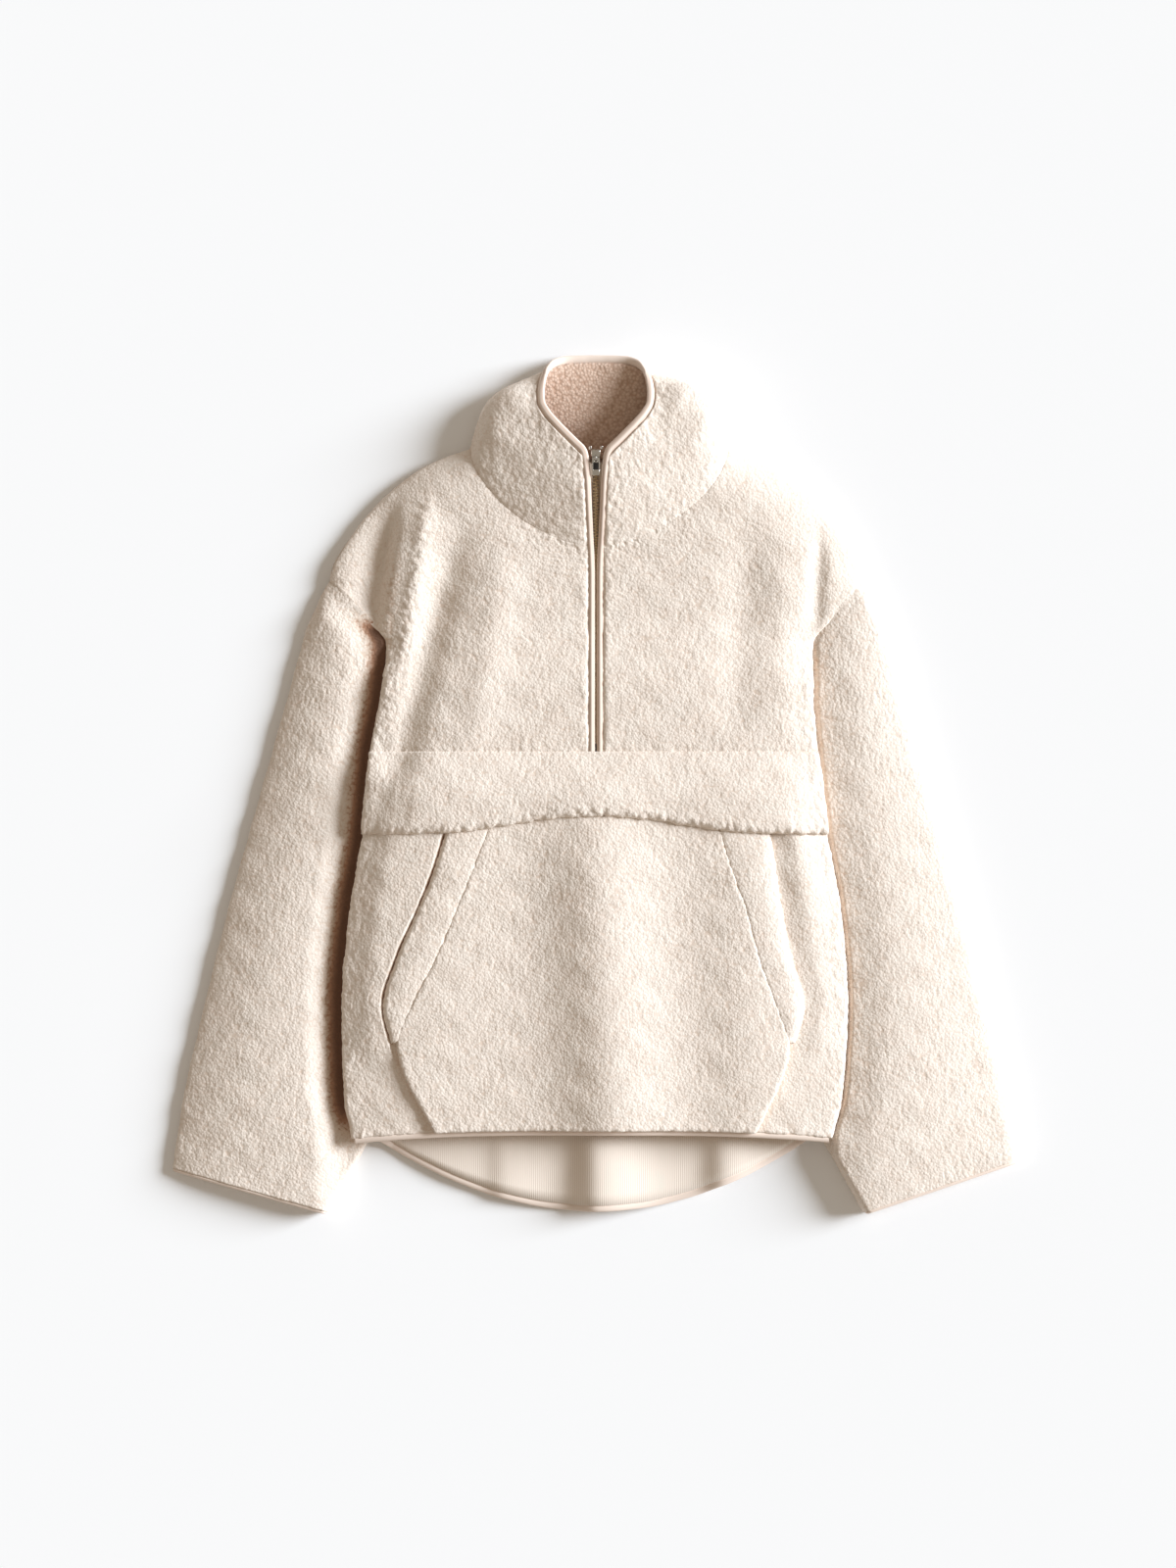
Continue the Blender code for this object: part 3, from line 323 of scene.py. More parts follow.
def rim(fine, sparse):
    """Triangles between a line of points and a sparser one beside it: a fan from each of the
    sparser points."""
    every = (len(fine) - 1) // (len(sparse) - 1)
    k = np.arange(len(fine) - 1)
    nearest = sparse[(k + every // 2) // every]
    fans = np.stack([fine[:-1], fine[1:], nearest], -1)
    middle = np.arange(len(sparse) - 1) * every + every // 2 + every % 2
    joins = np.stack([fine[middle], sparse[1:], sparse[:-1]], -1)
    return np.concatenate([fans, joins])


def in_scene(name, data):
    """An object that shows the data, linked into the scene."""
    made = bpy.data.objects.new(name, data)
    bpy.context.scene.collection.objects.link(made)
    return made


def smooth_piece(name, points, faces, finishes, which=None):
    """A smooth-shaded object from points in millimetres and faces. which tells for each face
    the number of its finish."""
    mesh = bpy.data.meshes.new(name)
    mesh.from_pydata(np.asarray(points) * MM, [], faces, shade_flat=False)
    for finish in finishes:
        mesh.materials.append(finish)
    if which is not None:
        mesh.polygons.foreach_set("material_index", np.array(which, np.int32))
    return in_scene(name, mesh)


def note(made, name, values):
    """Keeps a number for each point of the piece, as the attribute of that name."""
    attribute = made.data.attributes.new(name, "FLOAT", "POINT")
    attribute.data.foreach_set("value", np.array(values, np.float32))


def cloth(name, outer, inner, finishes, every=4, wrap=False, curl=None):
    """A closed wall of cloth between two grids of points: all of the outer one, and one in
    every few rows and columns of the inner one. The outer side is pushed out by curl, whose
    tone, with any shade painted into it, is kept as the attribute pile. The first finish is
    the outside's, the second the inside's."""
    rows, columns = outer.shape[:2]
    normal = normals_of(outer, wrap)
    side = np.sign((normal * (outer - inner)).sum())
    if curl is not None:
        outer = outer + normal * side * curl[..., 1:]
        outer[..., 2] = np.maximum(outer[..., 2], 0.1)
    sparse = inner[::every, ::every]
    points = np.concatenate([outer.reshape(-1, 3), sparse.reshape(-1, 3)])
    outside = grid_quads(rows, columns, wrap)
    inside = grid_quads(*sparse.shape[:2], wrap) + rows * columns
    index = np.arange(rows * columns).reshape(rows, columns)
    other = rows * columns + np.arange(sparse[..., 0].size).reshape(sparse.shape[:2])
    if wrap:
        index, other = (np.concatenate([a, a[:, :1]], 1) for a in (index, other))
    borders = [rim(index[0][::-1], other[0][::-1]), rim(index[-1], other[-1])]
    if not wrap:
        borders += [rim(index[:, 0], other[:, 0]), rim(index[::-1, -1], other[::-1, -1])]
    # A grid's quads turn from its first to its second column and on to the next row.
    if side > 0:
        inside = inside[:, ::-1]
    else:
        outside = outside[:, ::-1]
        borders = [b[:, ::-1] for b in borders]
    parts = outside, inside, np.concatenate(borders)
    which = np.repeat([0, len(finishes) - 1, 0], [len(part) for part in parts])
    faces = [face for part in parts for face in part.tolist()]
    made = smooth_piece(name, points, faces, finishes, which)
    tones = np.full(len(points), 0.5)
    if curl is not None:
        tones[: rows * columns] = curl[..., 0].ravel()
    note(made, "pile", tones)
    return made


def linear(code):
    """An sRGB colour, as hex digits, in linear light."""
    srgb = np.array([int(code[i : i + 2], 16) for i in (0, 2, 4)]) / 255
    return (*np.where(srgb <= 0.04045, srgb / 12.92, ((srgb + 0.055) / 1.055) ** 2.4), 1)


def add(tree, kind, inputs=None, stops=(), **settings):
    """Adds a shader node with its settings. inputs gives each socket a value or a link, and
    stops gives a colour ramp its places and colours in order."""
    made = tree.nodes.new("ShaderNode" + kind)
    for name, value in settings.items():
        setattr(made, name, value)
    if stops:
        ramp = made.color_ramp.elements
        ramp[1].position, ramp[0].position = stops[-1][0], stops[0][0]
        for place, _ in stops[1:-1]:
            ramp.new(place)
        for element, (_, code) in zip(ramp, stops, strict=True):
            element.color = linear(code)
    for socket, value in (inputs or {}).items():
        if isinstance(value, bpy.types.NodeSocket):
            tree.links.new(value, made.inputs[socket])
        else:
            made.inputs[socket].default_value = value
    return made


def new_finish(name, **values):
    """An empty material with one Principled shader, whose sockets get the values."""
    made = bpy.data.materials.new(name)
    made.use_nodes = True
    shader = made.node_tree.nodes["Principled BSDF"]
    for socket, value in values.items():
        shader.inputs[socket.replace("_", " ")].default_value = value
    return made, made.node_tree, shader


def surface(tree, shader, colour, height, strength, deep, **settings):
    """Links a colour to the shader, and a relief that is deep millimetres from low to high."""
    inputs = {"Strength": strength, "Distance": deep * MM, "Height": height}
    relief = add(tree, "Bump", inputs, **settings)
    tree.links.new(colour.outputs[0], shader.inputs["Base Color"])
    tree.links.new(relief.outputs[0], shader.inputs["Normal"])


def sherpa_finish():
    """Curled polyester pile: matt, pale at the tips of the curls and warmer and darker in the
    creases between them, partly its own tone and partly painted shade, with the sheen of loose
    fibre. Nubs 2.5 mm across are drawn as relief."""
    made, tree, shader = new_finish(
        "sherpa_pile", Roughness=0.92, Sheen_Weight=0.35, Sheen_Roughness=0.6,
        Sheen_Tint=linear("fff4e8"),
    )
    place = add(tree, "TexCoord").outputs["Object"]
    wander = add(tree, "TexNoise", {"Vector": place, "Scale": 330.0, "Detail": 2.0})
    shift = add(
        tree, "VectorMath", {0: wander.outputs["Color"], 1: (0.5, 0.5, 0.5)},
        operation="SUBTRACT",
    )
    warped = add(
        tree, "VectorMath", {0: shift.outputs[0], 1: (0.0022,) * 3, 2: place},
        operation="MULTIPLY_ADD",
    ).outputs[0]
    nubs = add(tree, "TexVoronoi", {"Vector": warped, "Scale": 1 / (2.5 * MM)})
    span = {"From Min": 0.15, "From Max": 0.85, "To Min": 1, "To Max": 0}
    rise = add(
        tree, "MapRange", {"Value": nubs.outputs["Distance"], **span},
        interpolation_type="SMOOTHSTEP",
    ).outputs[0]
    crease_shade = add(tree, "MapRange", {"Value": rise, "From Max": 0.45, "To Min": 0.6}).outputs[0]
    pile = add(tree, "Attribute", attribute_name="pile").outputs["Fac"]
    pile = add(tree, "MapRange", {"Value": pile, "To Min": 0.6}, clamp=False).outputs[0]
    depth = add(tree, "Math", {0: pile, 1: crease_shade}, operation="MULTIPLY")
    # The two darkest stops, reached only where pile drops below 0, colour stitch lines and painted
    # shade.
    tone = add(
        tree, "ValToRGB", {"Fac": depth.outputs[0]},
        ((0.0, "6f4d38"), (0.14, "ac8166"), (0.34, "ddc9b7"), (0.65, "ebdfd3")),
    )
    patch = add(tree, "TexNoise", {"Vector": place, "Scale": 55.0, "Detail": 3.0})
    warm = add(
        tree, "ValToRGB", {"Fac": patch.outputs["Fac"]}, ((0.3, "dbb9a2"), (0.7, "ffffff"))
    )
    shade = add(
        tree, "MixRGB", {0: 0.12, 1: tone.outputs[0], 2: warm.outputs[0]}, blend_type="MULTIPLY"
    )
    grain = add(tree, "TexNoise", {"Vector": place, "Scale": 1100.0, "Detail": 2.0})
    height = add(
        tree, "Math", {0: grain.outputs["Fac"], 1: 0.4, 2: rise}, operation="MULTIPLY_ADD"
    )
    surface(tree, shader, shade, height.outputs[0], 0.58, 0.4)
    return made


def ribbed_finish():
    """The knitted ground on the inside: smooth fine ribs 1.9 mm apart that run down the
    garment, a little darker between them."""
    made, tree, shader = new_finish(
        "ribbed_knit", Roughness=0.85, Sheen_Weight=0.2, Sheen_Roughness=0.5
    )
    place = add(tree, "TexCoord").outputs["Object"]
    sway = add(tree, "TexNoise", {"Vector": place, "Scale": 60.0, "Detail": 1.0})
    bent = add(
        tree, "VectorMath", {0: sway.outputs["Color"], 1: (0.0008, 0, 0), 2: place},
        operation="MULTIPLY_ADD",
    )
    # A wave texture repeats 20 / (2 pi) times for each unit of its scale.
    ribs = add(
        tree, "TexWave", {"Vector": bent.outputs[0], "Scale": 2 * math.pi / (20 * 1.9 * MM)}
    )
    tone = add(
        tree, "ValToRGB", {"Fac": ribs.outputs["Fac"]}, ((0.0, "e6d6c7"), (1.0, "f1e5d8"))
    )
    fuzz = add(tree, "TexNoise", {"Vector": place, "Scale": 900.0, "Detail": 2.0})
    height = add(
        tree, "Math", {0: fuzz.outputs["Fac"], 1: 0.3, 2: ribs.outputs["Fac"]},
        operation="MULTIPLY_ADD",
    )
    surface(tree, shader, tone, height.outputs[0], 0.35, 0.3)
    return made


SHERPA, RIBBED = sherpa_finish(), ribbed_finish()


def back_plan():
    """Where the back's rows and columns cross, seen from above: the columns run down the
    sides and along the tucked edges of the sleeves, and the rows curve down to the tail."""
    rows = np.array(BACK_ROWS, float)
    side_y, drop = rows[:, :1], (rows[:, 1] - rows[:, 0])[:, None]

    def half(side):
        """x of the columns from one side up to the middle."""
        outline = outline_x(side, y[:, 0])[:, None]
        near = outline - side * FROM_SIDE
        edge = np.abs(outline) - EDGE_CLEAR - EDGE_CLEAR_NECK * ease((y[:, :1] - 200) / 90)
        step = side * (np.minimum(tucked_edge(y[:, :1]), edge) - FROM_TUCK)
        inside = step[:, -1:] * (1 - TO_MIDDLE)
        return np.concatenate([near, (near[:, -1:] + step[:, :1]) / 2, step, inside], 1)

    y = np.repeat(side_y, BACK_COLUMNS, axis=1)
    for _ in range(4):
        x = np.concatenate([half(-1), np.zeros((len(y), 1)), half(1)[:, ::-1]], 1)
        share = x / np.where(x < 0, -x[:, :1], x[:, -1:])
        y = side_y + drop * (1 - np.abs(share) ** TAIL_CURVE[0]) ** TAIL_CURVE[1]
    return np.stack([x, y], -1)


def on_back(plan):
    """Points of the back's underside over a plan of x and y."""
    x, y = plan[..., 0], plan[..., 1]
    height = skin_height(x, y, back_rest, BACK_REACH, BACK_POWER, BACK_ROLL)
    return np.concatenate([plan, height[..., None]], -1)


plan = refine(back_plan(), BACK_STEP, BACK_STEP, 2)
fit = [outline_x(side, plan[:, k, 1]) / plan[:, k, 0] for side, k in ((-1, 0), (1, -1))]
plan[..., 0] *= np.where(plan[..., 0] < 0, fit[0][:, None], fit[1][:, None])
points = on_back(plan)
down = normals_of(points)
outer = rolled(points, down, NECK_TURN, TAIL_TURN, None, None)
back = cloth("back_panel", outer, points - down * PILE, (SHERPA, RIBBED), 2, curl=curls(outer))
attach(back, "garment")
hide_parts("back")
back_hem, back_hem_down = points[-1], down[-1]

# ==== Upper fronts ========================================================================
# Two panels of the same cloth with the zip between them, sewn to the back along the shoulders
# and the sides. They lie on the back, stand off it in soft puffs, ride up over the tucked
# sleeves, and round down to the side seams.
FLAP_SEAM_Y = 31.0
ZIP_EDGE = 8.6  # half the gap that the zip and its bindings fill
NECK_FRONT_Y, NECK_SIDE_Y, NECK_POWER = 219.0, 309.0, 1.65
NECK_SHARES = np.array([0, 0.06, 0.15, 0.27, 0.41, 0.56, 0.7, 0.82, 0.92, 1.0])
STANDING = 1.6  # how far the front stands off where it has no puff
EDGE_PUFF = 0.1  # share of the puff that is left at the sides
BRIDGE = (84.0, 6.0, 80.0)  # the front's rise to the tucked sleeves: width, clearance, length
BRIDGE_MIDDLE = 0.85  # share of that rise in the middle, which the sides hold up
FRONT_REACH, FRONT_POWER = 45.0, 2.2  # width and roundness of the front's turn at its sides
FINE_STEP = 1.35  # distance between the points of the cloth that shows
# Depth, reach and spread of the grooves along the flap's seam and the zip; and reach and
# spread of those whose depth changes, along the neck and the sides
FLAP_GROOVE, ZIP_GROOVE = (1.0, 7.0, 1.2), (0.9, 4.0, 1.6)
NECK_GROOVE, SIDE_GROOVE = (10.0, 1.2), (7.0, 0.6)
# Depth of the neck's groove beside the zip, and what is added on the left and on the right
NECK_LEAST, NECK_MORE = 0.15, (1.2, 0.5)
ARMHOLE_ROLL = 0.8  # depth of the groove where the front parts from the back at the armhole
# A ridge of matted pile, and a band of painted shade along the trough, beside the left armhole:
# a point of its line, how far the line leans, its width, and where and over what length each
# end fades
CHEST_RIDGE = (-154, 262, 0.17, 8, (285, 30), (60, 60))
ARMHOLE_CREASE_SHADE = (-186, 190, 0.1, 6.5, (236, 60), (100, 30))
# Bands of matted pile: how much, beside which sides of the grid, and fading over what width
FRONT_MATTED = ((0.3, (0, 1), 8.0), (0.3, (3,), 7.0))
# Matting at the side seams and on the chest ridge, and how strong that painted shade is
SIDE_MATTED, RIDGE_MATTED, CREASE_PAINTED_SHADE = 0.45, 0.5, 0.75
UPRIGHT_REACH = 16.0  # how far from its side the front's wall stands upright
INNER_SPREAD, INNER_REACH = 1.8, 6.0  # how far, and within what, its inside spreads there
# Soft ridges (+) and troughs (-): from, to, bowed sideways by, width on the left and on the
# right, height in the middle
FOLDS = (
    (-152, 280, -182, 90, 2, 10, 10, 2.6),
    (-184, 276, -214, 100, 0, 30, 8, -13),
    (-206, 150, -196, 4, 0, 24, 9, -5),
    (-116, 268, -204, -60, 0, 16, 16, -6),
    (-80, 250, -118, 12, 2, 19, 19, 2.6),
    (168, 252, 182, 8, 0, 17, 17, 1.8),
    (140, 264, 124, 20, 0, 18, 18, -2.3),
    (206, 250, 200, 120, 0, 8, 8, -4),
    (-4, 34, 22, -420, 0, 42, 46, 10.3),
    (136, 0, 136, -420, 0, 34, 34, 2.4),
)
FOLD_FADE = 0.3  # share of a fold's length over which each end dies out
FOLDS_AT_SIDE = 0.4  # share of the folds that is left at the sides


def fold_height(x, y):
    """The sum of the folds: a bell across each one, dying out towards its two ends."""
    total = np.zeros(np.shape(x))
    for x1, y1, x2, y2, bow, left, right, height in FOLDS:
        along = np.array([x2 - x1, y2 - y1], float)
        length = np.linalg.norm(along)
        along /= length
        t = ((x - x1) * along[0] + (y - y1) * along[1]) / length
        inside = np.clip(t, 0, 1)
        aside = (x - x1) * -along[1] + (y - y1) * along[0] - bow * 4 * inside * (1 - inside)
        bell = np.exp(-((aside / np.where(aside < 0, left, right)) ** 2))
        total += height * bell * ease(t / FOLD_FADE) * ease((1 - t) / FOLD_FADE)
    return total


def front_rest(x, y):
    """Height of the front's upper side over the ground: the layers below it, its rise to the
    tucked sleeves, its puff, which falls off to the sides, and its folds."""
    wide, clearance, long = BRIDGE
    bridge = ease((np.abs(x) - (tucked_edge(y) - wide - clearance)) / wide)
    bridge = BRIDGE_MIDDLE + (1 - BRIDGE_MIDDLE) * bridge
    bridge = bridge * ease((UNDERARM_Y + 29 - y) / long)
    here = smooth_table(BODY, y)
    share = (2 * x - here[..., 0] - here[..., 1]) / (here[..., 1] - here[..., 0])
    share = np.clip(np.abs(share), 0, 1)
    puff = here[..., 4] * (1 - (1 - EDGE_PUFF) * share**4)
    folds = fold_height(x, y) * (1 - (1 - FOLDS_AT_SIDE) * share**12)
    return LAYERS + GAP + LIFT * bridge + STANDING + puff + folds


def on_front(x, y):
    """Points of the front's outer surface at x and y, without the relief of its pile."""
    height = skin_height(x, y, front_rest, FRONT_REACH, FRONT_POWER) + GAP + 0.1
    return np.stack([x, y, height], -1)


def neck_seam(side, t):
    """The neck's seam on the front, from the neck point (t = 0) to the zip (t = 1)."""
    wide = abs(float(outline_x(side, NECK_SIDE_Y)))
    last = math.acos((ZIP_EDGE / wide) ** (NECK_POWER / 2))
    x = wide * np.cos(t * last) ** (2 / NECK_POWER)
    fall = np.sin(t * last) ** (2 / NECK_POWER)
    return side * x, NECK_SIDE_Y - (NECK_SIDE_Y - NECK_FRONT_Y) * fall


def front_plan(side):
    """Where a front's rows and columns cross: the first row runs along the neck's seam, and
    the columns run down the side's outline and the zip. They keep the seam's spacing at the
    top and blend to their own further down, and the rows are level from 0.4 of the way."""
    stations = np.array((309, 296, 270, 236, *ARMHOLE, 85, FLAP_SEAM_Y), float)
    tall = NECK_SIDE_Y - FLAP_SEAM_Y
    t, v = np.meshgrid(NECK_SHARES, (NECK_SIDE_Y - stations) / tall)
    top_x, top_y = neck_seam(side, NECK_SHARES)
    fall = np.where(v < 1, NECK_SIDE_Y - stations[:, None], tall - GAP / 2)
    y = top_y - fall + (NECK_SIDE_Y - top_y) * np.minimum(v / 0.4, 1)
    y = np.where(v == 0, top_y - GAP / 2, y)
    outer = outline_x(side, stations)[:, None]
    near = np.array([0, 2.0, 7.0, 16.0, 30.0])
    even = np.linspace(0, 1, 6)[1:]
    inside = (outer - side * near[-1]) * (1 - even) + side * ZIP_EDGE * even
    spread = np.concatenate([outer - side * near, inside], 1)
    straight = outer * (1 - t) + side * ZIP_EDGE * t
    bend = top_x - (outer[0] * (1 - NECK_SHARES) + side * ZIP_EDGE * NECK_SHARES)
    blend = ease(v / 0.3)
    x = (straight + bend) * (1 - blend) + spread * blend
    x[0] = top_x
    return np.stack([x, y], -1)


def facing_up(points):
    """Unit normals of a grid of points, on the side that faces up."""
    normal = normals_of(points)
    return normal * np.sign(normal[..., 2].sum())


def slanting(points, at_x, at_y, lean, width, top, foot):
    """1 along a slanting line, in a bell across it, and fading out at its top and foot."""
    x, y = points[..., 0], points[..., 1]
    bell = np.exp(-(((x - at_x + (at_y - y) * lean) / width) ** 2))
    return bell * ease((top[0] - y) / top[1]) * ease((y - foot[0]) / foot[1])


def beside(points, sides, reach):
    """1 at the given sides of a grid, counted as in from_sides, fading out over reach."""
    distance = np.min([from_sides(points)[i] for i in sides], 0)
    return np.exp(-((distance / reach) ** 2))


def matted(points, bands):
    """How much the pile is matted at each point: the most that one of the bands gives."""
    return np.max([share * beside(points, sides, reach) for share, sides, reach in bands], 0)


def neck_depth(points):
    """How deep the neck's seam is drawn in: least beside the zip and on the right."""
    x = points[..., :1]
    return NECK_LEAST + np.where(x < 0, *NECK_MORE) * ease((np.abs(x) - 50) / 60)


for side, word in ((-1, "left"), (1, "right")):
    plan = refine(front_plan(side), FINE_STEP, FINE_STEP)
    points = on_front(plan[..., 0], plan[..., 1])
    up = facing_up(points)
    opened = smooth_table(BODY, points[..., 1])[..., 3:4]
    side_depth = ARMHOLE_ROLL * opened + SIDE_ROLL * below_arms(points[..., 1:2])
    outer = rolled(
        points, up, (neck_depth(points), *NECK_GROOVE), FLAP_GROOVE, (side_depth, *SIDE_GROOVE),
        ZIP_GROOVE,
    )
    side_seam = beside(points, (2,), 13.0) * ease((140 - points[..., 1]) / 30)
    ridge = slanting(points, *CHEST_RIDGE)
    coarse = np.maximum(SIDE_MATTED * side_seam, RIDGE_MATTED * ridge)
    pile = curls(outer, np.maximum(coarse, matted(points, FRONT_MATTED)))
    # On the left, shade is painted into the pile's tone along the armhole's trough.
    if side < 0:
        pile[..., 0] -= CREASE_PAINTED_SHADE * slanting(points, *ARMHOLE_CREASE_SHADE)
    upright = beside(points, (2,), UPRIGHT_REACH)[..., None]
    through = unit(up * (1 - upright) + np.array([0, 0, 1.0]) * upright)
    inner = points - through * PILE
    inner[..., 0] -= side * INNER_SPREAD * beside(points, (2,), INNER_REACH)
    made = cloth(f"upper_front_{word}", outer, inner, (SHERPA, RIBBED), curl=pile)
    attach(made, "garment")
    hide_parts(f"front_{word}")

# ==== Lower front =========================================================================
# One panel of the same cloth from side seam to side seam. Its top is sewn into the fronts'
# seam together with the flap, the pocket and its bands are sewn on it, and it is hemmed at
# the bottom.
FLAP_MIDDLE_Y, FLAP_SIDE_Y = -27.0, -43.0
FRONT_HEM_MIDDLE_Y, FRONT_HEM_SIDE_Y = -314.0, -321.0
POCKET_TOP_Y, BAND_END_Y = -14.0, -234.0
# How far from the middle the pocket's openings and their stitching lie on the left, and then
# on the right; below BAND_END_Y the stitching is the pocket's own lower edge
POCKET = (
    (40, 124, 84, 150, 98),
    (-14, 131, 91, 155, 107),
    (-65, 144, 108, 162, 120),
    (-110, 161, 126, 169, 136),
    (-155, 181, 145, 178, 148),
    (-200, 194, 168, 190, 164),
    (-234, 187, 181, 182, 176),
    (-326, 150, 142, 150, 142),
)
FLAP_ROWS = (FLAP_SEAM_Y, 8.0, POCKET_TOP_Y, FLAP_SIDE_Y)
LOWER_ROWS = (*FLAP_ROWS, -75, -110, -155, -200, BAND_END_Y, -262, -290, FRONT_HEM_SIDE_Y)
OPENING, STITCHING, LAST = 5, 7, 26  # columns of the lower plan
FLAP_CURVE, HEM_CURVE = (95, 2.4), (215, 3)  # how wide and how flat these edges' middles are
LEVEL, LEVEL_WIDE = 4.6, (3.0, 24.0)  # rise beside the openings; its width on left and right
# Over what lengths that rise dies out at the sides, at its foot and at the top; and how much
# less it is on the right, from where and over what length
LEVEL_FADES, LEVEL_FOOT_Y, RIGHT_LESS = (30, 40, 45), -262, (0.5, -80, 90)
SEAM_SINK = 1.6  # how far the lower front sinks under the flap's seam
SHOWN_STEP, HIDDEN_STEP = 1.4, 8.0  # distance between points where the lower front shows or not
SEAM_GROOVE, HEM_TURN = (0.9, 4.0, 1.0), (0.8, 3.0, 0.6)  # depth, reach and spread
SIDE_TURN = (8.0, 1.2)  # reach and spread of the front's turn to its side seams
LOWER_MATTED = ((0.4, (1,), 9.0), (0.3, (2, 3), 14.0))
OPENING_PAINTED_SHADE = 1.6  # how much shade is painted into the pile deep in the pocket's openings


def lower_half(side, y):
    """x of the 13 columns between one side and the middle, each at its own y."""
    first = 2 if side > 0 else 0
    outline = outline_x(side, y)
    opening, stitching = side * np.moveaxis(smooth_table(POCKET, y)[..., first : first + 2], -1, 0)
    near = [outline - side * d for d in (0, 2.0, 7.0, 16.0)]
    outside = [(near[-1] + opening) / 2, opening, (opening + stitching) / 2, stitching]
    inside = [stitching * (1 - k) for k in (0.15, 0.32, 0.5, 0.67, 0.84)]
    return np.diagonal(np.stack(near + outside + inside, -1), axis1=1, axis2=2)


def lower_plan():
    """Where the lower front's rows and columns cross. The columns run along the sides, the
    pocket's openings and its stitching; the rows along the flap's edge and the hem."""
    y = np.repeat(np.array(LOWER_ROWS, float)[:, None], LAST + 1, axis=1)
    y[0] -= GAP / 2
    flap = len(FLAP_ROWS) - 1
    for _ in range(3):
        left, right = lower_half(-1, y[:, :13]), lower_half(1, y[:, :13:-1])[:, ::-1]
        x = np.concatenate([left, np.zeros((len(y), 1)), right], 1)
        across = np.abs(x[flap]) / FLAP_CURVE[0]
        bell = np.exp(-(across ** FLAP_CURVE[1]))
        y[flap] = FLAP_SIDE_Y + (FLAP_MIDDLE_Y - FLAP_SIDE_Y) * bell
        hem = (np.abs(x[-1]) / HEM_CURVE[0]) ** HEM_CURVE[1]
        y[-1] = FRONT_HEM_MIDDLE_Y + (FRONT_HEM_SIDE_Y - FRONT_HEM_MIDDLE_Y) * hem
    return np.stack([x, y], -1)


def beside_opening(x, y):
    """How much the lower front rises beside the pocket's openings, where it lies level with
    the pocket: steeply on the left, slowly on the right."""
    opening = smooth_table(POCKET, y)
    past = np.where(x < 0, -x - opening[..., 0], x - opening[..., 2])
    rise = ease(past / np.where(x < 0, *LEVEL_WIDE))
    here = smooth_table(BODY, y)
    to_side = np.minimum(x - here[..., 0], here[..., 1] - x)
    at_side, at_foot, at_top = LEVEL_FADES
    ends = ease(to_side / at_side) * ease((y - LEVEL_FOOT_Y) / at_foot)
    ends = ends * ease((FLAP_SEAM_Y - y) / at_top)
    less, start, long = RIGHT_LESS
    return LEVEL * rise * ends * (1 - less * (x > 0) * ease((start - y) / long))


def under_seam(y):
    """How far the lower front sinks on its way up to the flap's seam."""
    return SEAM_SINK * ease((y + 4) / (FLAP_SEAM_Y + 4))


def on_lower(plan):
    """The lower front's outer surface."""
    x, y = plan[..., 0], plan[..., 1]
    points = on_front(x, y)
    rise = beside_opening(x, y) - under_seam(y)
    return points + rise[..., None] * facing_up(points)


LOWER_PLAN = lower_plan()
columns = np.full(LAST, SHOWN_STEP)
columns[STITCHING : LAST - STITCHING] = HIDDEN_STEP
columns[[OPENING, OPENING + 1, LAST - OPENING - 1, LAST - OPENING - 2]] = HIDDEN_STEP / 2
rows = np.full(len(LOWER_ROWS) - 1, SHOWN_STEP)
rows[:2] = HIDDEN_STEP
points = on_lower(refine(LOWER_PLAN, rows, columns))
up = facing_up(points)
first, second = smooth_table(POCKET, points[..., 1])[..., [0, 2]].transpose(2, 0, 1)
opening = np.where(points[..., 0] < 0, first, second)
beyond = ease((np.abs(points[..., 0]) - opening) / 3.5)
shown = beyond * ease((FLAP_MIDDLE_Y - points[..., 1]) / 6)
turn = SIDE_ROLL * below_arms(points[..., 1:2]), *SIDE_TURN
outer = rolled(points, up, None, HEM_TURN, turn, turn)
pile = curls(outer, matted(points, LOWER_MATTED)) * shown[..., None]
# Painted shade in the pocket's openings: all along on the left, only its upper part on the right.
opening_shade = np.where(points[..., 0] < 0, 1, 0.5 * ease((points[..., 1] + 95) / 50))
opening_shade = OPENING_PAINTED_SHADE * (1 - beyond) * opening_shade
pile[..., 0] -= opening_shade * ease((points[..., 1] - BAND_END_Y + 6) / 18)
made = cloth("lower_front", outer, points - up * PILE, (SHERPA, RIBBED), curl=pile)
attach(made, "garment")
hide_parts("front_lower")
lower_front, lower_hem, lower_hem_up = made, points[-1], up[-1]

# ==== Flap ================================================================================
# A straight piece sewn into the seam under the fronts. It hangs over the pocket's top, and
# its lower edge is turned under, so it is thick and rounded there and casts a shadow.
FLAP_THICK = (2.6, PILE, PILE + 0.6, PILE)  # row by row, as FLAP_ROWS
OVER_POCKET = (0, 0.45, 1, 1)  # share of the pocket's thickness that it rises, row by row
FLAP_SEAM, FLAP_TURN = (0.7, 9.0, 1.2), (4.5, 8.0, 0.5)  # depth, reach and spread
FLAP_MATTED = ((0.75, (1,), 9.0), (0.4, (2, 3), 16.0))
over = np.zeros((len(FLAP_ROWS), LAST + 1, 1))
over[:, OPENING - 1 : LAST - OPENING + 2] = np.array(OVER_POCKET)[:, None, None]
thick = np.broadcast_to(np.array(FLAP_THICK)[:, None, None], over.shape)
flap_plan = np.concatenate([LOWER_PLAN[: len(FLAP_ROWS)], over, thick], -1)
plan = refine(flap_plan, FINE_STEP, FINE_STEP)
x, y = plan[..., 0], plan[..., 1]
base = on_front(x, y)
up = facing_up(base)
level = np.maximum((PILE + GAP) * plan[..., 2], beside_opening(x, y))
inner = base + (GAP + level - under_seam(y))[..., None] * up
turn = SIDE_ROLL, *SIDE_TURN
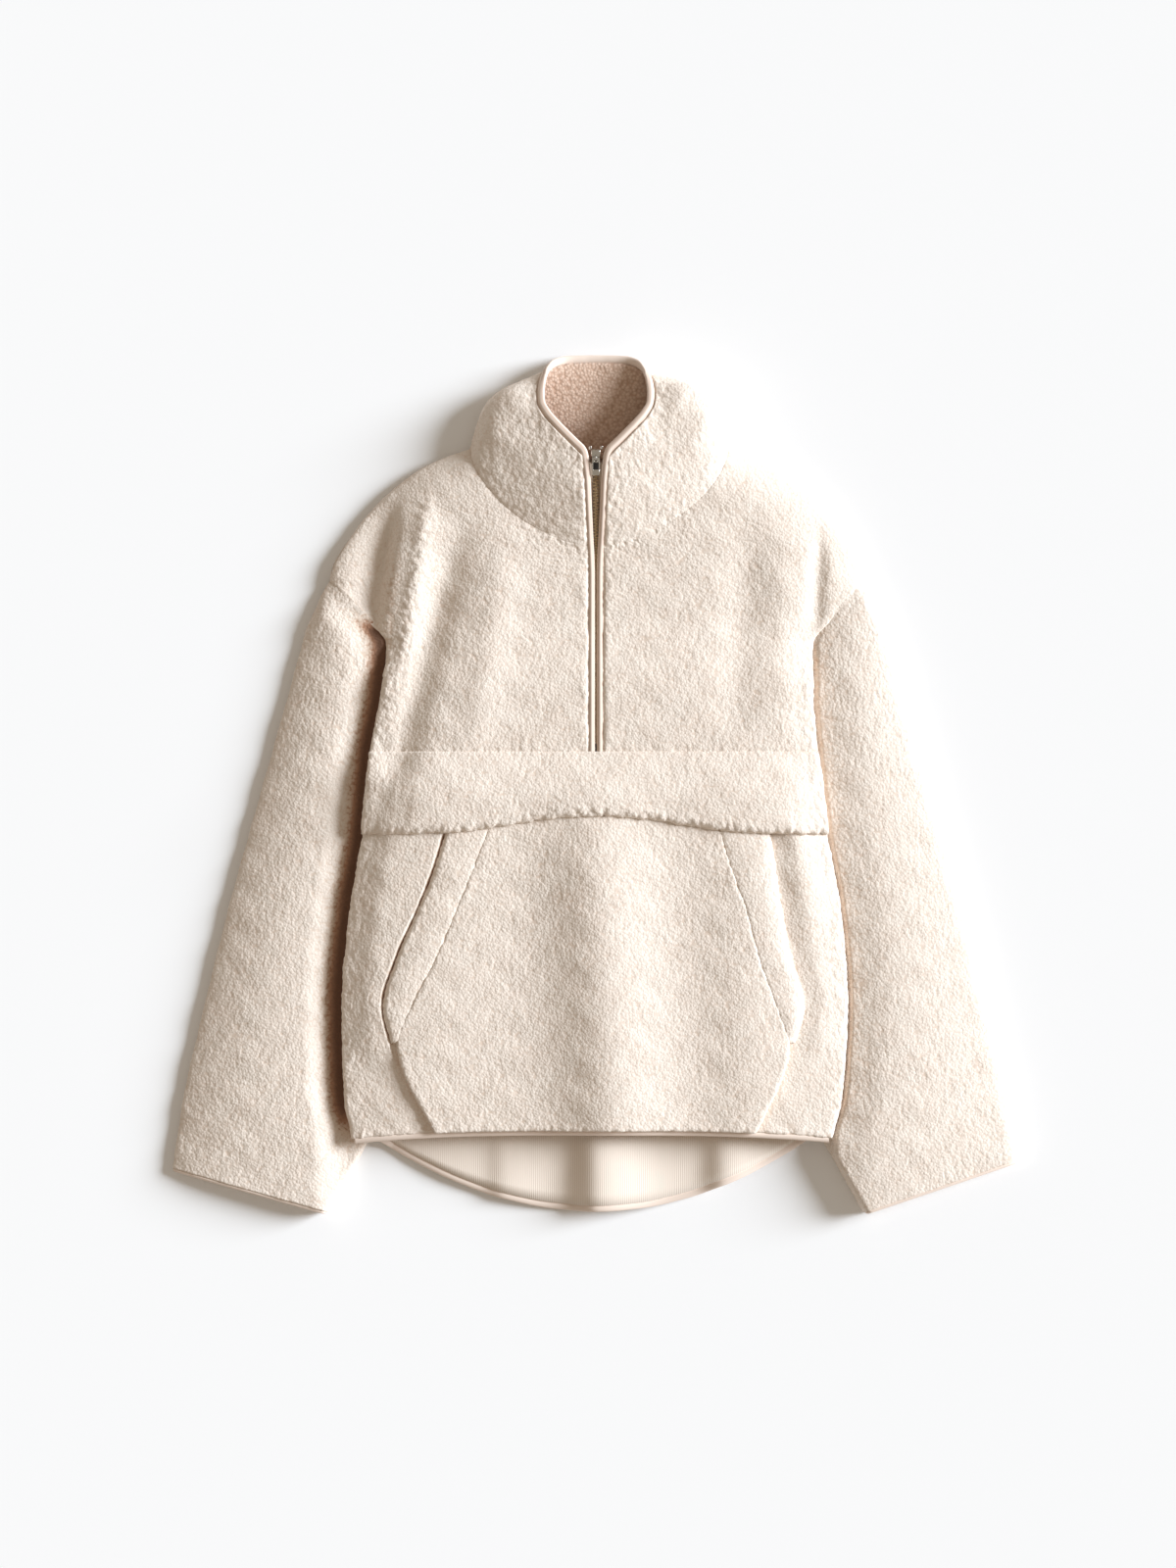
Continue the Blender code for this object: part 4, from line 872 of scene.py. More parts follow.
outer = rolled(inner + plan[..., 3:] * up, up, FLAP_SEAM, FLAP_TURN, turn, turn)
pile = curls(outer, matted(outer, FLAP_MATTED))
made = cloth("flap_piece", outer, inner, (SHERPA, RIBBED), curl=pile)
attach(made, "garment")
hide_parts("flap")

# ==== Pocket ==============================================================================
# A kangaroo pocket: one wide patch on the lower front, sewn down along its slanting lower
# edges and the hem, and at its sides to the bands of the two openings.
POCKET_ROW = FLAP_ROWS.index(POCKET_TOP_Y)
POCKET_MATTED = ((0.3, (1, 2, 3), 6.0),)
STITCH_DARK, STITCH_WIDE = 0.7, 1.3  # the line of stitches beside the bands
plan = LOWER_PLAN[POCKET_ROW:, STITCHING : LAST - STITCHING + 1].copy()
plan[:, 0, 0] += GAP / 2
plan[:, -1, 0] -= GAP / 2
base = on_lower(refine(plan, SHOWN_STEP, SHOWN_STEP))
up = facing_up(base)
inner = base + GAP * up
outer = rolled(inner + PILE * up, up, None, HEM_TURN, SEAM_GROOVE, SEAM_GROOVE)
pile = curls(outer, matted(outer, POCKET_MATTED))
pile[..., 0] -= STITCH_DARK * beside(outer, (2, 3), STITCH_WIDE)
made = cloth("pocket_patch", outer, inner, (SHERPA, RIBBED), curl=pile)
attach(made, "garment")
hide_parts("pocket")

# ==== Pocket bands ========================================================================
# A turned band along each opening: folded over at the opening, where the hand goes in behind
# it, and stitched down along a groove beside the patch.
BAND_PUFF = 0.8
BAND_FOLD = {-1: (4.2, 4.5, 0.4), 1: (4.2, 13.0, 0.4)}  # the fold is sharper on the left
BAND_END_TURN = (3.0, 5.0, 0.4)
BAND_MATTED = {-1: ((0.4, (1, 2), 9.0),), 1: ((0.4, (1, 3), 9.0),)}
for side, word in ((-1, "left"), (1, "right")):
    columns = slice(OPENING, STITCHING + 1)
    if side > 0:
        columns = slice(LAST - STITCHING, LAST - OPENING + 1)
    plan = LOWER_PLAN[POCKET_ROW : LOWER_ROWS.index(BAND_END_Y) + 1, columns].copy()
    plan[:, -1 if side < 0 else 0, 0] += side * GAP / 2
    puff = np.zeros((*plan.shape[:2], 1))
    puff[2:-1, 1] = BAND_PUFF
    plan = refine(np.concatenate([plan, puff], -1), FINE_STEP, FINE_STEP)
    base = on_lower(plan)
    up = facing_up(base)
    inner = base + GAP * up
    turns = (BAND_FOLD[side], SEAM_GROOVE)[::-side]
    outer = rolled(inner + (PILE + plan[..., 2:]) * up, up, None, BAND_END_TURN, *turns)
    pile = curls(outer, matted(outer, BAND_MATTED[side]))
    made = cloth(f"pocket_band_of_{word}_opening", outer, inner, (SHERPA, RIBBED), curl=pile)
    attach(made, "garment")
    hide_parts(f"pocket_band_{word}")

# ==== Sleeves =============================================================================
# Each is one panel sewn into a tube from armhole to cuff. It lies nearly flat, with its inner
# part tucked under the body, and is highest beside the body.
ARMHOLE_SHARES = (0, 0.17, 0.377, 0.726, 0.887, 1)  # where the armhole's stations fall
RIGHT_CUFF_LIFT = 8.0  # how much higher the right cuff's outer corner lies
SLEEVE_AIR = 0.5  # least room inside
# Width and roundness of each sleeve's turn at its free edge, and its width at the armhole
# and on the underside
OUTER_REACH, OUTER_POWER = {-1: 55.0, 1: 14.0}, {-1: 1.7, 1: 2.2}
ARMHOLE_REACH, UNDER_REACH = 14, 13
# How far ahead of the body's side each sleeve is highest, at the armhole and further down
CREST = {-1: (38.0, 38.0), 1: (12.0, 38.0)}
# How each sleeve's top comes down beside the body: share, start and length ahead of its side
DROPS = {-1: ((1.0, 3.0, 34.0),), 1: ((0.75, -1.0, 7.0), (0.25, 0.0, 40.0))}
FULL = {-1: 0.75, 1: 1.0}  # how full each sleeve's top is
# How much shade is painted into the gap beside the body, on the left and on the right:
GAP_PAINTED_SHADE = {-1: 1.0, 1: 0.35}  # the left falls away from the body, the right closes up to it
GAP_TOP, GAP_FOOT = (166, 26), (-350, 60)  # where the painted shade in that gap ends, and over what length it fades
PAINTED_SHADE_FADE = (5, 23)  # from where ahead of the body's side that painted shade fades, and over what length
OFF_SEAM = (0.7, -0.72)  # direction in which a sleeve stands off the armhole's seam
# The sleeve's first LAP_REACH millimetres lap the front's edge, moved by LAP in x and y. Its
# top sinks by SINK there, less RISE_UNDER below UNDER_Y, and its inside comes up by
# RISE_INSIDE
LAP_REACH, LAP, SINK, RISE_UNDER, RISE_INSIDE = 9, (-2.2, 2.3), 0.7, 1.5, 2.4
UNDER_Y, UNDER_FADE = 160, 10
# Shares of the way round a sleeve: where its fine edge ends and where its hidden part starts
EDGE_SHARE, HIDDEN_SHARE = 0.06, 0.74


def painted_gap_shade(side, y):
    """How much shade is painted into the gap beside the body: from nothing above the
    underarm to the side's whole share below it, and to nothing again at the cuff."""
    fade = ease((GAP_TOP[0] - y) / GAP_TOP[1]) * ease((y - GAP_FOOT[0]) / GAP_FOOT[1])
    return fade * GAP_PAINTED_SHADE[side]


def sleeve_skin(side, steps, share, is_top, inset):
    """One skin of a sleeve: for each section a closed ring, over the top from the free edge
    to the tucked edge and back along the ground. Its top is a quarter superellipse at the
    free edge and a sine up to the crest, which drops beside the body; its first section
    blends into the armhole. inset moves the skin inwards. The second result is how much
    shade is painted on each point of the top in the gap beside the body, up to 1."""
    sections = smooth_table([(i, *row) for i, row in enumerate(SLEEVE)], steps)
    outer, inner = sections[:, 0:2], sections[:, 2:4]
    if side > 0:
        outer[:, 1] += RIGHT_CUFF_LIFT * ease(steps - (len(SLEEVE) - 2))
    length = np.linalg.norm(inner - outer, axis=1)[:, None]
    edge = inset * 1.1 / length
    w = edge + (1 - 2 * edge) * share[None, :]
    plan = outer[:, None, :] * (1 - w[..., None]) + inner[:, None, :] * w[..., None]
    seam_y = np.interp(w[0], ARMHOLE_SHARES, ARMHOLE)
    body_x = outline_x(side, seam_y)
    seam_top = on_front(body_x, seam_y)[:, 2] - GAP
    seam_low = on_back(np.stack([body_x, seam_y], -1))[:, 2]
    away = ease(steps)[:, None, None]
    underarm = -side * outline_x(side, UNDERARM_Y)
    plan[..., 0] += (underarm - inner[0, 0]) * w * (1 - ease(steps / 2.2))[:, None]
    plan = np.stack([-side * body_x, seam_y], -1)[None] * (1 - away) + plan * away
    ahead = -plan[..., 0] - np.abs(outline_x(side, plan[..., 1]))
    from_outer = w * length
    reach = ARMHOLE_REACH + (OUTER_REACH[side] - ARMHOLE_REACH) * ease(steps / 1.5)[:, None]
    rise = quarter(1 - from_outer / reach, OUTER_POWER[side])
    first, last = CREST[side]
    crest = first + (last - first) * ease((steps - 0.6) / 1.4)[:, None]
    wide = np.maximum(from_outer + ahead - crest, 12)
    dome = np.sin(math.pi / 2 * np.clip(from_outer / wide, 0, 1))
    drop = sum(part * ease((ahead - start) / long) for part, start, long in DROPS[side])
    low = LAYERS / 2 + (TUCK - LAYERS / 2) * rise
    top = low + FULL[side] * (sections[:, 4][:, None] - TUCK) * dome * drop
    tip = quarter(1 - (1 - w) * length / (TUCK / 2), 2.0)
    top = TUCK / 2 + (top - TUCK / 2) * tip
    under = LAYERS / 2 * (1 - quarter(1 - from_outer / UNDER_REACH, 2.0))
    under = under + TUCK / 2 * (1 - tip)
    start = away[..., 0]
    z_top = seam_top * (1 - start) + top * start
    z_low = seam_low * (1 - start) + under * start
    middle = (z_top + z_low) / 2
    if inset:
        z_top = np.maximum(z_top - inset, np.minimum(middle + SLEEVE_AIR / 2, z_top))
        z_low = np.minimum(z_low + inset, np.maximum(middle - SLEEVE_AIR / 2, z_low))
    z = np.where(is_top[None, :], z_top, z_low)
    off_seam = np.array([side * OFF_SEAM[0], OFF_SEAM[1], 0]) * GAP
    # Shade painted on the top in the gap beside the body, fading ahead of it and along it.
    painted_shade = np.where(is_top, 1 - ease((ahead - PAINTED_SHADE_FADE[0]) / PAINTED_SHADE_FADE[1]), 0.0)
    painted_shade = painted_shade * painted_gap_shade(side, plan[..., 1])
    return np.stack([-side * plan[..., 0], plan[..., 1], z], -1) + off_seam, painted_shade


def lapped(skin, near, side, lift):
    """The skin moved over the front's edge, and its top lifted, both by as much as near."""
    lift = np.where(is_top[None], lift, 0.0)
    return skin + near[..., None] * np.stack(np.broadcast_arrays(side * LAP[0], LAP[1], lift), -1)


last = len(SLEEVE) - 1
steps = np.concatenate([np.linspace(0, 1, 36, endpoint=False), np.linspace(1, last, 333)])
# Close together near the free edge, even over the part that shows, and sparse where hidden
share = np.concatenate([
    EDGE_SHARE * np.linspace(0, 1, 10, endpoint=False) ** 1.6,
    np.linspace(EDGE_SHARE, HIDDEN_SHARE, 104, endpoint=False),
    np.linspace(HIDDEN_SHARE, 1, 22, endpoint=False),
    np.linspace(1, EDGE_SHARE, 50, endpoint=False),
    EDGE_SHARE * np.linspace(1, 0, 6, endpoint=False) ** 1.6,
])
is_top = np.arange(len(share)) <= np.argmax(share)
cuffs, sleeves = {}, {}
for side, word in ((-1, "left"), (1, "right")):
    outer, painted_shade = sleeve_skin(side, steps, share, is_top, 0.0)
    near = (1 - np.clip(from_sides(outer)[0] / LAP_REACH, 0, 1)) ** 2
    under = ease((UNDER_Y - outer[..., 1]) / UNDER_FADE)
    outer = lapped(outer, near, side, SINK - RISE_UNDER * under)
    inner, _ = sleeve_skin(side, steps, share, is_top, PILE)
    inner = lapped(inner, near, side, -RISE_INSIDE)
    pile = curls(outer)
    # Shade is painted into the pile's tone in the gap beside the body.
    pile[..., 0] -= (pile[..., 0] + 1.5) * painted_shade
    cuffs[side] = (outer[-1], inner[-1], outer[-4])
    made = cloth(f"sleeve_tube_{word}", outer, inner, (SHERPA, RIBBED), wrap=True, curl=pile)
    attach(made, "garment")
    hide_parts(f"sleeve_{word}")
    sleeves[side] = made

# ==== Cuff bindings =======================================================================
# A narrow strip of smooth knit round each cuff, folded over the cloth's edge like piping and
# sewn through, which leaves a groove.
CUFF_BINDING = (3.6, 4.4)  # width along the sleeve, and thickness across the edge
CUFF_OVERLAP = 0.9  # how much of it lies over the cloth
GROOVE_WIDE, GROOVE_DEEP = 0.035, 0.14  # of the turn round a binding, and of its thickness


def binding_finish():
    """Smooth knitted tape with a fine uneven weave, a little warmer than the pile, and
    darker where its seam draws it in."""
    made, tree, shader = new_finish(
        "binding_knit", Roughness=0.7, Sheen_Weight=0.15, Sheen_Roughness=0.4
    )
    place = add(tree, "TexCoord").outputs["Object"]
    weave = add(tree, "TexNoise", {"Vector": place, "Scale": 1300.0, "Detail": 1.0})
    seam = add(tree, "Attribute", attribute_name="seam").outputs["Fac"]
    tone = add(tree, "ValToRGB", {"Fac": seam}, ((0.0, "e8d6c8"), (1.0, "bc9f8a")))
    surface(tree, shader, tone, weave.outputs["Fac"], 0.35, 0.15)
    return made


BINDING = binding_finish()


def crisp_piece(name, points, faces, finishes, which=None):
    """As smooth_piece, with edges of over 40 degrees left sharp."""
    made = smooth_piece(name, points, faces, finishes, which)
    made.data.set_sharp_from_angle(angle=math.radians(40))
    return made


def swept(path, across, up, section, closed=False):
    """Points and faces of a strip swept along a path. For each point round it, the section
    says how far it lies along the directions across and up; it may change along the path."""
    rows, sides = len(path), np.shape(section)[-2]
    section = np.broadcast_to(section, (rows, sides, 2))
    points = path[:, None] + section[..., :1] * across[:, None] + section[..., 1:] * up[:, None]
    faces = (grid_quads(rows + closed, sides, True) % (rows * sides)).tolist()
    if not closed:
        first = list(range(sides))
        faces += [first[::-1], [(rows - 1) * sides + k for k in first]]
    if (np.cross(across, up) * np.gradient(path, axis=0)).sum() < 0:
        faces = [face[::-1] for face in faces]
    return points.reshape(-1, 3), faces


def piping(name, path, across, up, width, thick, grooves, closed=False):
    """Binding tape folded over an edge: an ellipse of that width and thickness, with 18
    sides, swept along the path. Each groove is a direction in the section, in turns from
    across towards up, where stitches draw it in; the attribute seam is 1 there."""
    turn = np.linspace(0, 1, 18, endpoint=False)
    apart = np.abs((turn - np.array(grooves)[:, None] + 0.5) % 1 - 0.5)
    drawn = np.exp(-((apart / GROOVE_WIDE) ** 2)).max(0)
    round_it = np.stack([np.cos(2 * math.pi * turn), np.sin(2 * math.pi * turn)], -1)
    sizes = np.stack(np.broadcast_arrays(width, np.full(len(path), thick)), -1)[:, None] / 2
    section = round_it * (1 - GROOVE_DEEP * drawn)[:, None] * sizes
    made = crisp_piece(name, *swept(path, across, up, section, closed), (BINDING,))
    note(made, "seam", np.tile(drawn, len(path)))
    return made


for side, word in ((-1, "left"), (1, "right")):
    outer, inner, before = cuffs[side]
    along = unit((outer - before).mean(0))
    wide, thick = CUFF_BINDING
    path = (outer + inner) / 2 + along * (wide / 2 - CUFF_OVERLAP)
    made = piping(
        f"cuff_piping_{word}", path, np.broadcast_to(along, path.shape), unit(outer - inner),
        wide, thick, (0.38,), closed=True,
    )
    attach(made, "garment")
    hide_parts(f"cuff_binding_{word}")

# ==== Collar ==============================================================================
# A high funnel of the same cloth, sewn round the neck. It stands at the sides, folds back on
# itself as it lies, and rests on the ground behind.

# Its top edge on the left: share of the way from the zip to the middle of the back, x, y, z
COLLAR_TOP = (
    (0.00, -12, 301, 41),
    (0.12, -22, 311, 41),
    (0.24, -37, 326, 40),
    (0.36, -49, 340, 37),
    (0.47, -55, 355, 31),
    (0.58, -54, 368, 24),
    (0.68, -50, 378, 16),
    (0.78, -41, 385, 8),
    (0.88, -24, 388, 2),
    (1.00, 0, 388.5, 0),
)
COLLAR_SIDE_SHARE = 0.6  # share of the half collar that the front's neck seam takes
COLLAR_TAPER = (1, 1, 1, 0.9, 0.62)  # thickness of the collar, row by row
# How far the collar bulges at the zip, and at its sides on the left and right; and the power
# of the height that puts the most of it a little over halfway up
BULGE_FRONT, BULGE_SIDES, BULGE_HIGH = 3.0, (9.0, 17.0), 1.2
SPREAD = 11.0  # how far the collar leans out at its sides
# Where round the half collar the bulge and the lean are most, and how wide; where they have
# died out, and over what share; and where it starts to lie on its outside, and over what share
BULGE_AT, LEAN_AT = (0.6, 0.16), (0.66, 0.18)
BULGE_END, LEAN_END, LYING = (0.93, 0.2), (0.96, 0.14), (0.78, 0.16)
COLLAR_MATTED, COLLAR_BANDS = 0.14, ((0.2, (0, 1, 2, 3), 13.0),)  # all over, and at its edges
COLLAR_EDGE = (0.9, 3.5, 0.8)  # depth, reach and spread of its turn at the zip


def collar_frame():
    """Sparse rows of points up the collar's outer surface, from the left of the zip round
    the back to its right, with their normals and the thickness there. They go straight from
    the foot to the top, pushed out along their normals and sideways by sines of the height."""
    left, right = (on_front(*front_plan(side)[0].T) for side in (-1, 1))
    behind = on_back(back_plan()[:1])[0] - [0, GAP / 2, 0]
    share_front = COLLAR_SIDE_SHARE * (1 - NECK_SHARES)[::-1]
    half = (len(behind) + 1) // 2
    spread = np.abs(behind[:, 0]) / np.where(behind[:, 0] < 0, -behind[0, 0], behind[-1, 0])
    turn = np.arcsin(np.clip(spread, 0, 1)) / (math.pi / 2)
    share_back = 1 - (1 - COLLAR_SIDE_SHARE) * turn
    share = np.concatenate([share_front, share_back[1:-1], share_front[::-1]])
    foot = np.concatenate([left[::-1], behind[1:-1], right]) + np.array([0, GAP + 0.1, 0])
    is_left = np.arange(len(share)) < len(share_front) + half - 1
    top = smooth_table(COLLAR_TOP, share)
    top[:, 0] *= np.where(is_left, 1, -1)
    rise = np.linspace(0, 1, len(COLLAR_TAPER))[:, None, None]
    points = foot * (1 - rise) + top * rise
    normal = normals_of(points)
    normal = normal * np.sign(normal[2, 2, 2])
    at_side = np.where(is_left, *BULGE_SIDES)
    bell = np.exp(-(((share - BULGE_AT[0]) / BULGE_AT[1]) ** 2))
    bulge = BULGE_FRONT + (at_side - BULGE_FRONT) * bell
    bulge = bulge * ease((BULGE_END[0] - share) / BULGE_END[1])
    points = points + (np.sin(math.pi * rise[..., 0] ** BULGE_HIGH) * bulge)[..., None] * normal
    level = unit(normal * [1, 1, 0])
    bell = np.exp(-(((share - LEAN_AT[0]) / LEAN_AT[1]) ** 2))
    leaning = SPREAD * bell * ease((LEAN_END[0] - share) / LEAN_END[1])
    points = points + (np.sin(math.pi * rise[..., 0] ** 0.9) * leaning)[..., None] * level
    points[..., 2] = np.maximum(points[..., 2], 0)
    flat = ease((share - LYING[0]) / LYING[1])[None, :, None]
    normal = unit(normal * (1 - flat) + np.array([0, 0, -1.0]) * flat)
    normal[0, :, 1] = np.minimum(normal[0, :, 1], 0)
    normal[0] = unit(normal[0])
    taper = np.broadcast_to(np.array(COLLAR_TAPER)[:, None, None], (*points.shape[:2], 1))
    return points, normal, taper


collar_points, collar_out, taper = collar_frame()
fine = np.concatenate([collar_points, collar_out * 5, taper], -1)
fine = refine(fine, FINE_STEP, SHOWN_STEP)
points, out, taper = fine[..., :3], unit(fine[..., 3:6]), fine[..., 6:]
outer = rolled(points, out, (neck_depth(points), *NECK_GROOVE), None, COLLAR_EDGE, COLLAR_EDGE)
pile = curls(outer, COLLAR_MATTED + matted(points, COLLAR_BANDS))
inner = points - PILE * taper * out
collar = cloth("collar_funnel", outer, inner, (SHERPA, RIBBED), curl=pile)
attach(collar, "garment")
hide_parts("collar")

# ==== Collar lining =======================================================================
# A facing of short dense fleece, sewn inside the collar and bound with it along the top.
# It is seen in the neck's opening, and its warm brown is partly its own colour and partly
# painted shade.
FLEECE, LINING_GAP = 2.4, 0.45  # its thickness, and the air behind it


def fleece_finish():
    """Short brushed fleece in a warm brown that is partly painted shade: small even nubs
    2.6 mm apart, with the loose fibre's sheen.
    """
    made, tree, shader = new_finish(
        "short_fleece", Roughness=0.95, Sheen_Weight=0.4, Sheen_Roughness=0.5
    )
    place = add(tree, "TexCoord").outputs["Object"]
    nubs = add(tree, "TexVoronoi", {"Vector": place, "Scale": 1 / (2.6 * MM)}).outputs["Distance"]
    tone = add(tree, "ValToRGB", {"Fac": nubs}, ((0.1, "e2c8b5"), (0.8, "bd9c86")))
    surface(tree, shader, tone, nubs, 0.8, 0.7, invert=True)
    return made


FLEECE_FINISH = fleece_finish()
facing = inner - LINING_GAP * out
shown_side = facing - FLEECE * taper * out
made = cloth("collar_facing", shown_side[::2, ::2], facing[::2, ::2], (FLEECE_FINISH,) * 2, 2)
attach(made, "garment")
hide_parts("collar_lining")

# ==== Neck binding ========================================================================
# One piping of the same smooth knit runs up the left of the zip, round the collar's top and
# down the right. It is folded over the cloth's edges and sewn through in two lines.

# Where the zip starts, where its bindings part for the collar, and the slider's lower end
ZIP_FOOT_Y, ZIP_PART_Y, SLIDER_Y = 39.0, 213.0, 295.0
NECK_BINDING, LIP_BINDING = (6.4, 5.4), 8.0  # width and thickness; width on the collar's top
BINDING_X, BINDING_DEPTH = 3.9, 2.2  # its middle, from the zip's middle and under the front
NECK_STEP = 2.0  # distance between the points along it
ZIP_CORNER = np.array([0.4, 2.0, 0.4])  # where it turns, from the collar's corner at the zip


def centre_front(y):
    """The line up the middle of the front and the collar, with its outward normals."""
    foot, top = collar_points[0, 0], collar_points[-1, 0]
    low = np.minimum(y, NECK_FRONT_Y)
    points = on_front(np.zeros_like(low), low)
    step = on_front(np.zeros_like(low), low - 0.5)
    normals = unit(np.cross([1.0, 0, 0], points - step))
    t = (y - foot[1]) / (top[1] - foot[1])
    rows = np.linspace(0, 1, len(collar_points))
    height = np.interp(t, rows, collar_points[:, 0, 2])
    points[:, 2] = np.where(y > NECK_FRONT_Y, height, points[:, 2])
    points[:, 1] = y
    slope = (top[2] - foot[2]) / (top[1] - foot[1])
    share = ease((y - (NECK_FRONT_Y - 15)) / 30)[:, None]
    return points, unit(normals * (1 - share) + unit(np.array([0, -slope, 1.0])) * share)


def finer(path, step):
    """The path's points, whatever they hold, on a smooth curve at even steps along it."""
    along = np.concatenate([[0], np.cumsum(np.linalg.norm(np.diff(path[:, :3], axis=0), axis=1))])
    places = np.linspace(0, along[-1], int(along[-1] / step) + 1)
    return smooth_table(np.column_stack([along, path]), places)


def neck_path():
    """Points of the neck binding's middle, the direction up out of the cloth, and width."""
    y = np.linspace(FLAP_SEAM_Y + 1, ZIP_PART_Y, 9)
    y = np.concatenate([y, [226, 243, 260, 277]])
    line, up = centre_front(y)
    parted = np.interp(y, collar_points[:, 0, 1], -collar_points[:, 0, 0], left=ZIP_EDGE)
    near_edge = ease((y - ZIP_PART_Y + 14) / 26)
    width, thick = NECK_BINDING
    left = line - up * BINDING_DEPTH
    left[:, 0] = -(BINDING_X * (1 - near_edge) + (parted - GAP - width / 2) * near_edge)
    lining_in = collar_points - collar_out * (
        (PILE + FLEECE) * np.array(COLLAR_TAPER)[:, None, None] + LINING_GAP
    )
    edge, below = ((collar_points[k] + lining_in[k]) / 2 for k in (-1, -2))
    lip_up = unit(collar_points[-1] - lining_in[-1])
    away = unit(np.cross(np.gradient(edge, axis=0), lip_up))
    away = away * np.sign((away * (edge - below)).sum(-1, keepdims=True))
    lip = edge + away * (GAP + thick / 2 + 0.5)
    lip[:, 2] = np.maximum(lip[:, 2], thick / 2 + 0.2)
    lip[0], lip[-1] = edge[0] + ZIP_CORNER, edge[-1] + ZIP_CORNER * [-1, 1, 1]
    path = np.concatenate([left, lip, left[::-1] * [-1, 1, 1]])
    lift = np.concatenate([up, lip_up, up[::-1]])
    wide = np.repeat([width, LIP_BINDING, width], [len(y), len(lip), len(y)])
    return np.column_stack([path, lift * 5, wide])


path = finer(neck_path(), NECK_STEP)
forward = unit(np.gradient(path[:, :3], axis=0))
across = unit(np.cross(forward, path[:, 3:6]))
lift = unit(np.cross(across, forward))
made = piping(
    "neck_piping", path[:, :3], across, lift, path[:, 6], NECK_BINDING[1], (0.36, 0.14)
)
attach(made, "garment")
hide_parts("neck_binding")

# ==== Hem bindings ========================================================================
# The same knit binds the front's hem and, wider and flatter, the tail's curved edge. Each is
# folded over the cloth's edge and sewn through along one groove.
HEM_BINDING, TAIL_BINDING = (6.4, 4.4), (7.6, 3.4)  # width and thickness
HEM_OUT = HEM_BINDING[0] / 2 - 1.2  # how far its middle lies beyond the cloth's edge
TAIL_END = 13  # how far from the back's sides the tail's binding ends
keep = slice(4, -4)
path = (lower_hem - lower_hem_up * PILE / 2 - [0, HEM_OUT, 0])[keep]
made = piping(
    "front_hem_piping", path, np.broadcast_to([0, -1.0, 0], path.shape), lower_hem_up[keep],
    *HEM_BINDING, (0.4,),
)
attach(made, "garment")
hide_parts("hem_binding_front")

hem = back_hem - back_hem_down * PILE / 2
keep = np.abs(hem[:, 0]) < np.abs(hem[[0, -1], 0]).min() - TAIL_END
hem, up = hem[keep], -back_hem_down[keep]
across = unit(np.cross(unit(np.gradient(hem, axis=0)), up))
across = across * np.sign(-across[:, 1:2])
made = piping("tail_piping", hem + across * HEM_OUT, across, up, *TAIL_BINDING, (0.55,))
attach(made, "garment")
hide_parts("hem_binding_back")

# ==== Zip =================================================================================
# Two woven tapes, sewn behind the bindings, carry cast metal teeth that lock in turn from the
# left and the right.
CHAIN_WIDE, CHAIN_DEPTH = 5.2, 5.8  # width, and depth of its middle under the front
TAPE_WIDE, TAPE_THICK = 5.4, 0.8
TOOTH_PITCH, TOOTH_OUT = 1.5, 0.75  # distance between teeth, and how far each is off the middle
TOOTH_RISE = 2.4  # how far the teeth rise towards the slider


def plain_finish(name, colour, roughness, metallic=0.0):
    """A finish with one colour all over."""
    values = {"Base_Color": linear(colour), "Roughness": roughness, "Metallic": metallic}
    return new_finish(name, **values)[0]


# Woven polyester tape is matt, cast brass teeth are a dull pale gold, polished steel mirrors
# the room, and the enamel in the pull is nearly black with a soft gloss.
TAPE = plain_finish("zip_tape_weave", "d8c5b1", 0.85)
BRASS = plain_finish("brass_teeth", "c8b08c", 0.4, 0.7)
STEEL = plain_finish("polished_steel", "d9d6d0", 0.22, 1.0)
DARK = plain_finish("dark_enamel", "1c1a19", 0.35)

y = np.concatenate([np.linspace(ZIP_FOOT_Y, NECK_FRONT_Y - 12, 30), np.linspace(211, 294.7, 24)])
line, up = centre_front(y)
for side, word in ((-1, "left"), (1, "right")):
    edges = CHAIN_WIDE / 2 + GAP + np.array([0, TAPE_WIDE])
    top = (line - up * (CHAIN_DEPTH - TAPE_THICK / 2))[:, None, :]
    top = top + side * edges[None, :, None] * np.array([1.0, 0, 0])
    made = cloth(f"tape_{word}", top, top - TAPE_THICK * up[:, None, :], (TAPE,) * 2, 1)
    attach(made, "garment")
    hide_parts(f"zip_tape_{word}")


def slab(outline, low, high, soft):
    """Points and faces of a plate with that outline, counterclockwise, from height low to
    high, with its edges turned by soft."""
    outline = np.array(outline, float)
    centre = (outline.max(0) + outline.min(0)) / 2
    smaller = centre + (outline - centre) * (1 - soft / np.abs(outline - centre).max(0))
    levels = ((smaller, low), (outline, low + soft), (outline, high - soft), (smaller, high))
    points = np.concatenate([np.insert(shape, 2, z, axis=1) for shape, z in levels])
    count = len(outline)
    faces = grid_quads(4, count, True).tolist()
    faces += [list(range(count))[::-1], list(range(3 * count, 4 * count))]
    return points, faces


def rounded(x0, x1, y0, y1, radius, steps=4):
    """The outline of a rectangle with rounded corners, counterclockwise."""
    turn = np.linspace(0, math.pi / 2, steps)
    corners = ((x1, y1, 0), (x0, y1, 1), (x0, y0, 2), (x1, y0, 3))
    return [
        (
            x - math.copysign(radius, x - (x0 + x1) / 2) + radius * math.cos(a + k * math.pi / 2),
            y - math.copysign(radius, y - (y0 + y1) / 2) + radius * math.sin(a + k * math.pi / 2),
        )
        for x, y, k in corners
        for a in turn
    ]


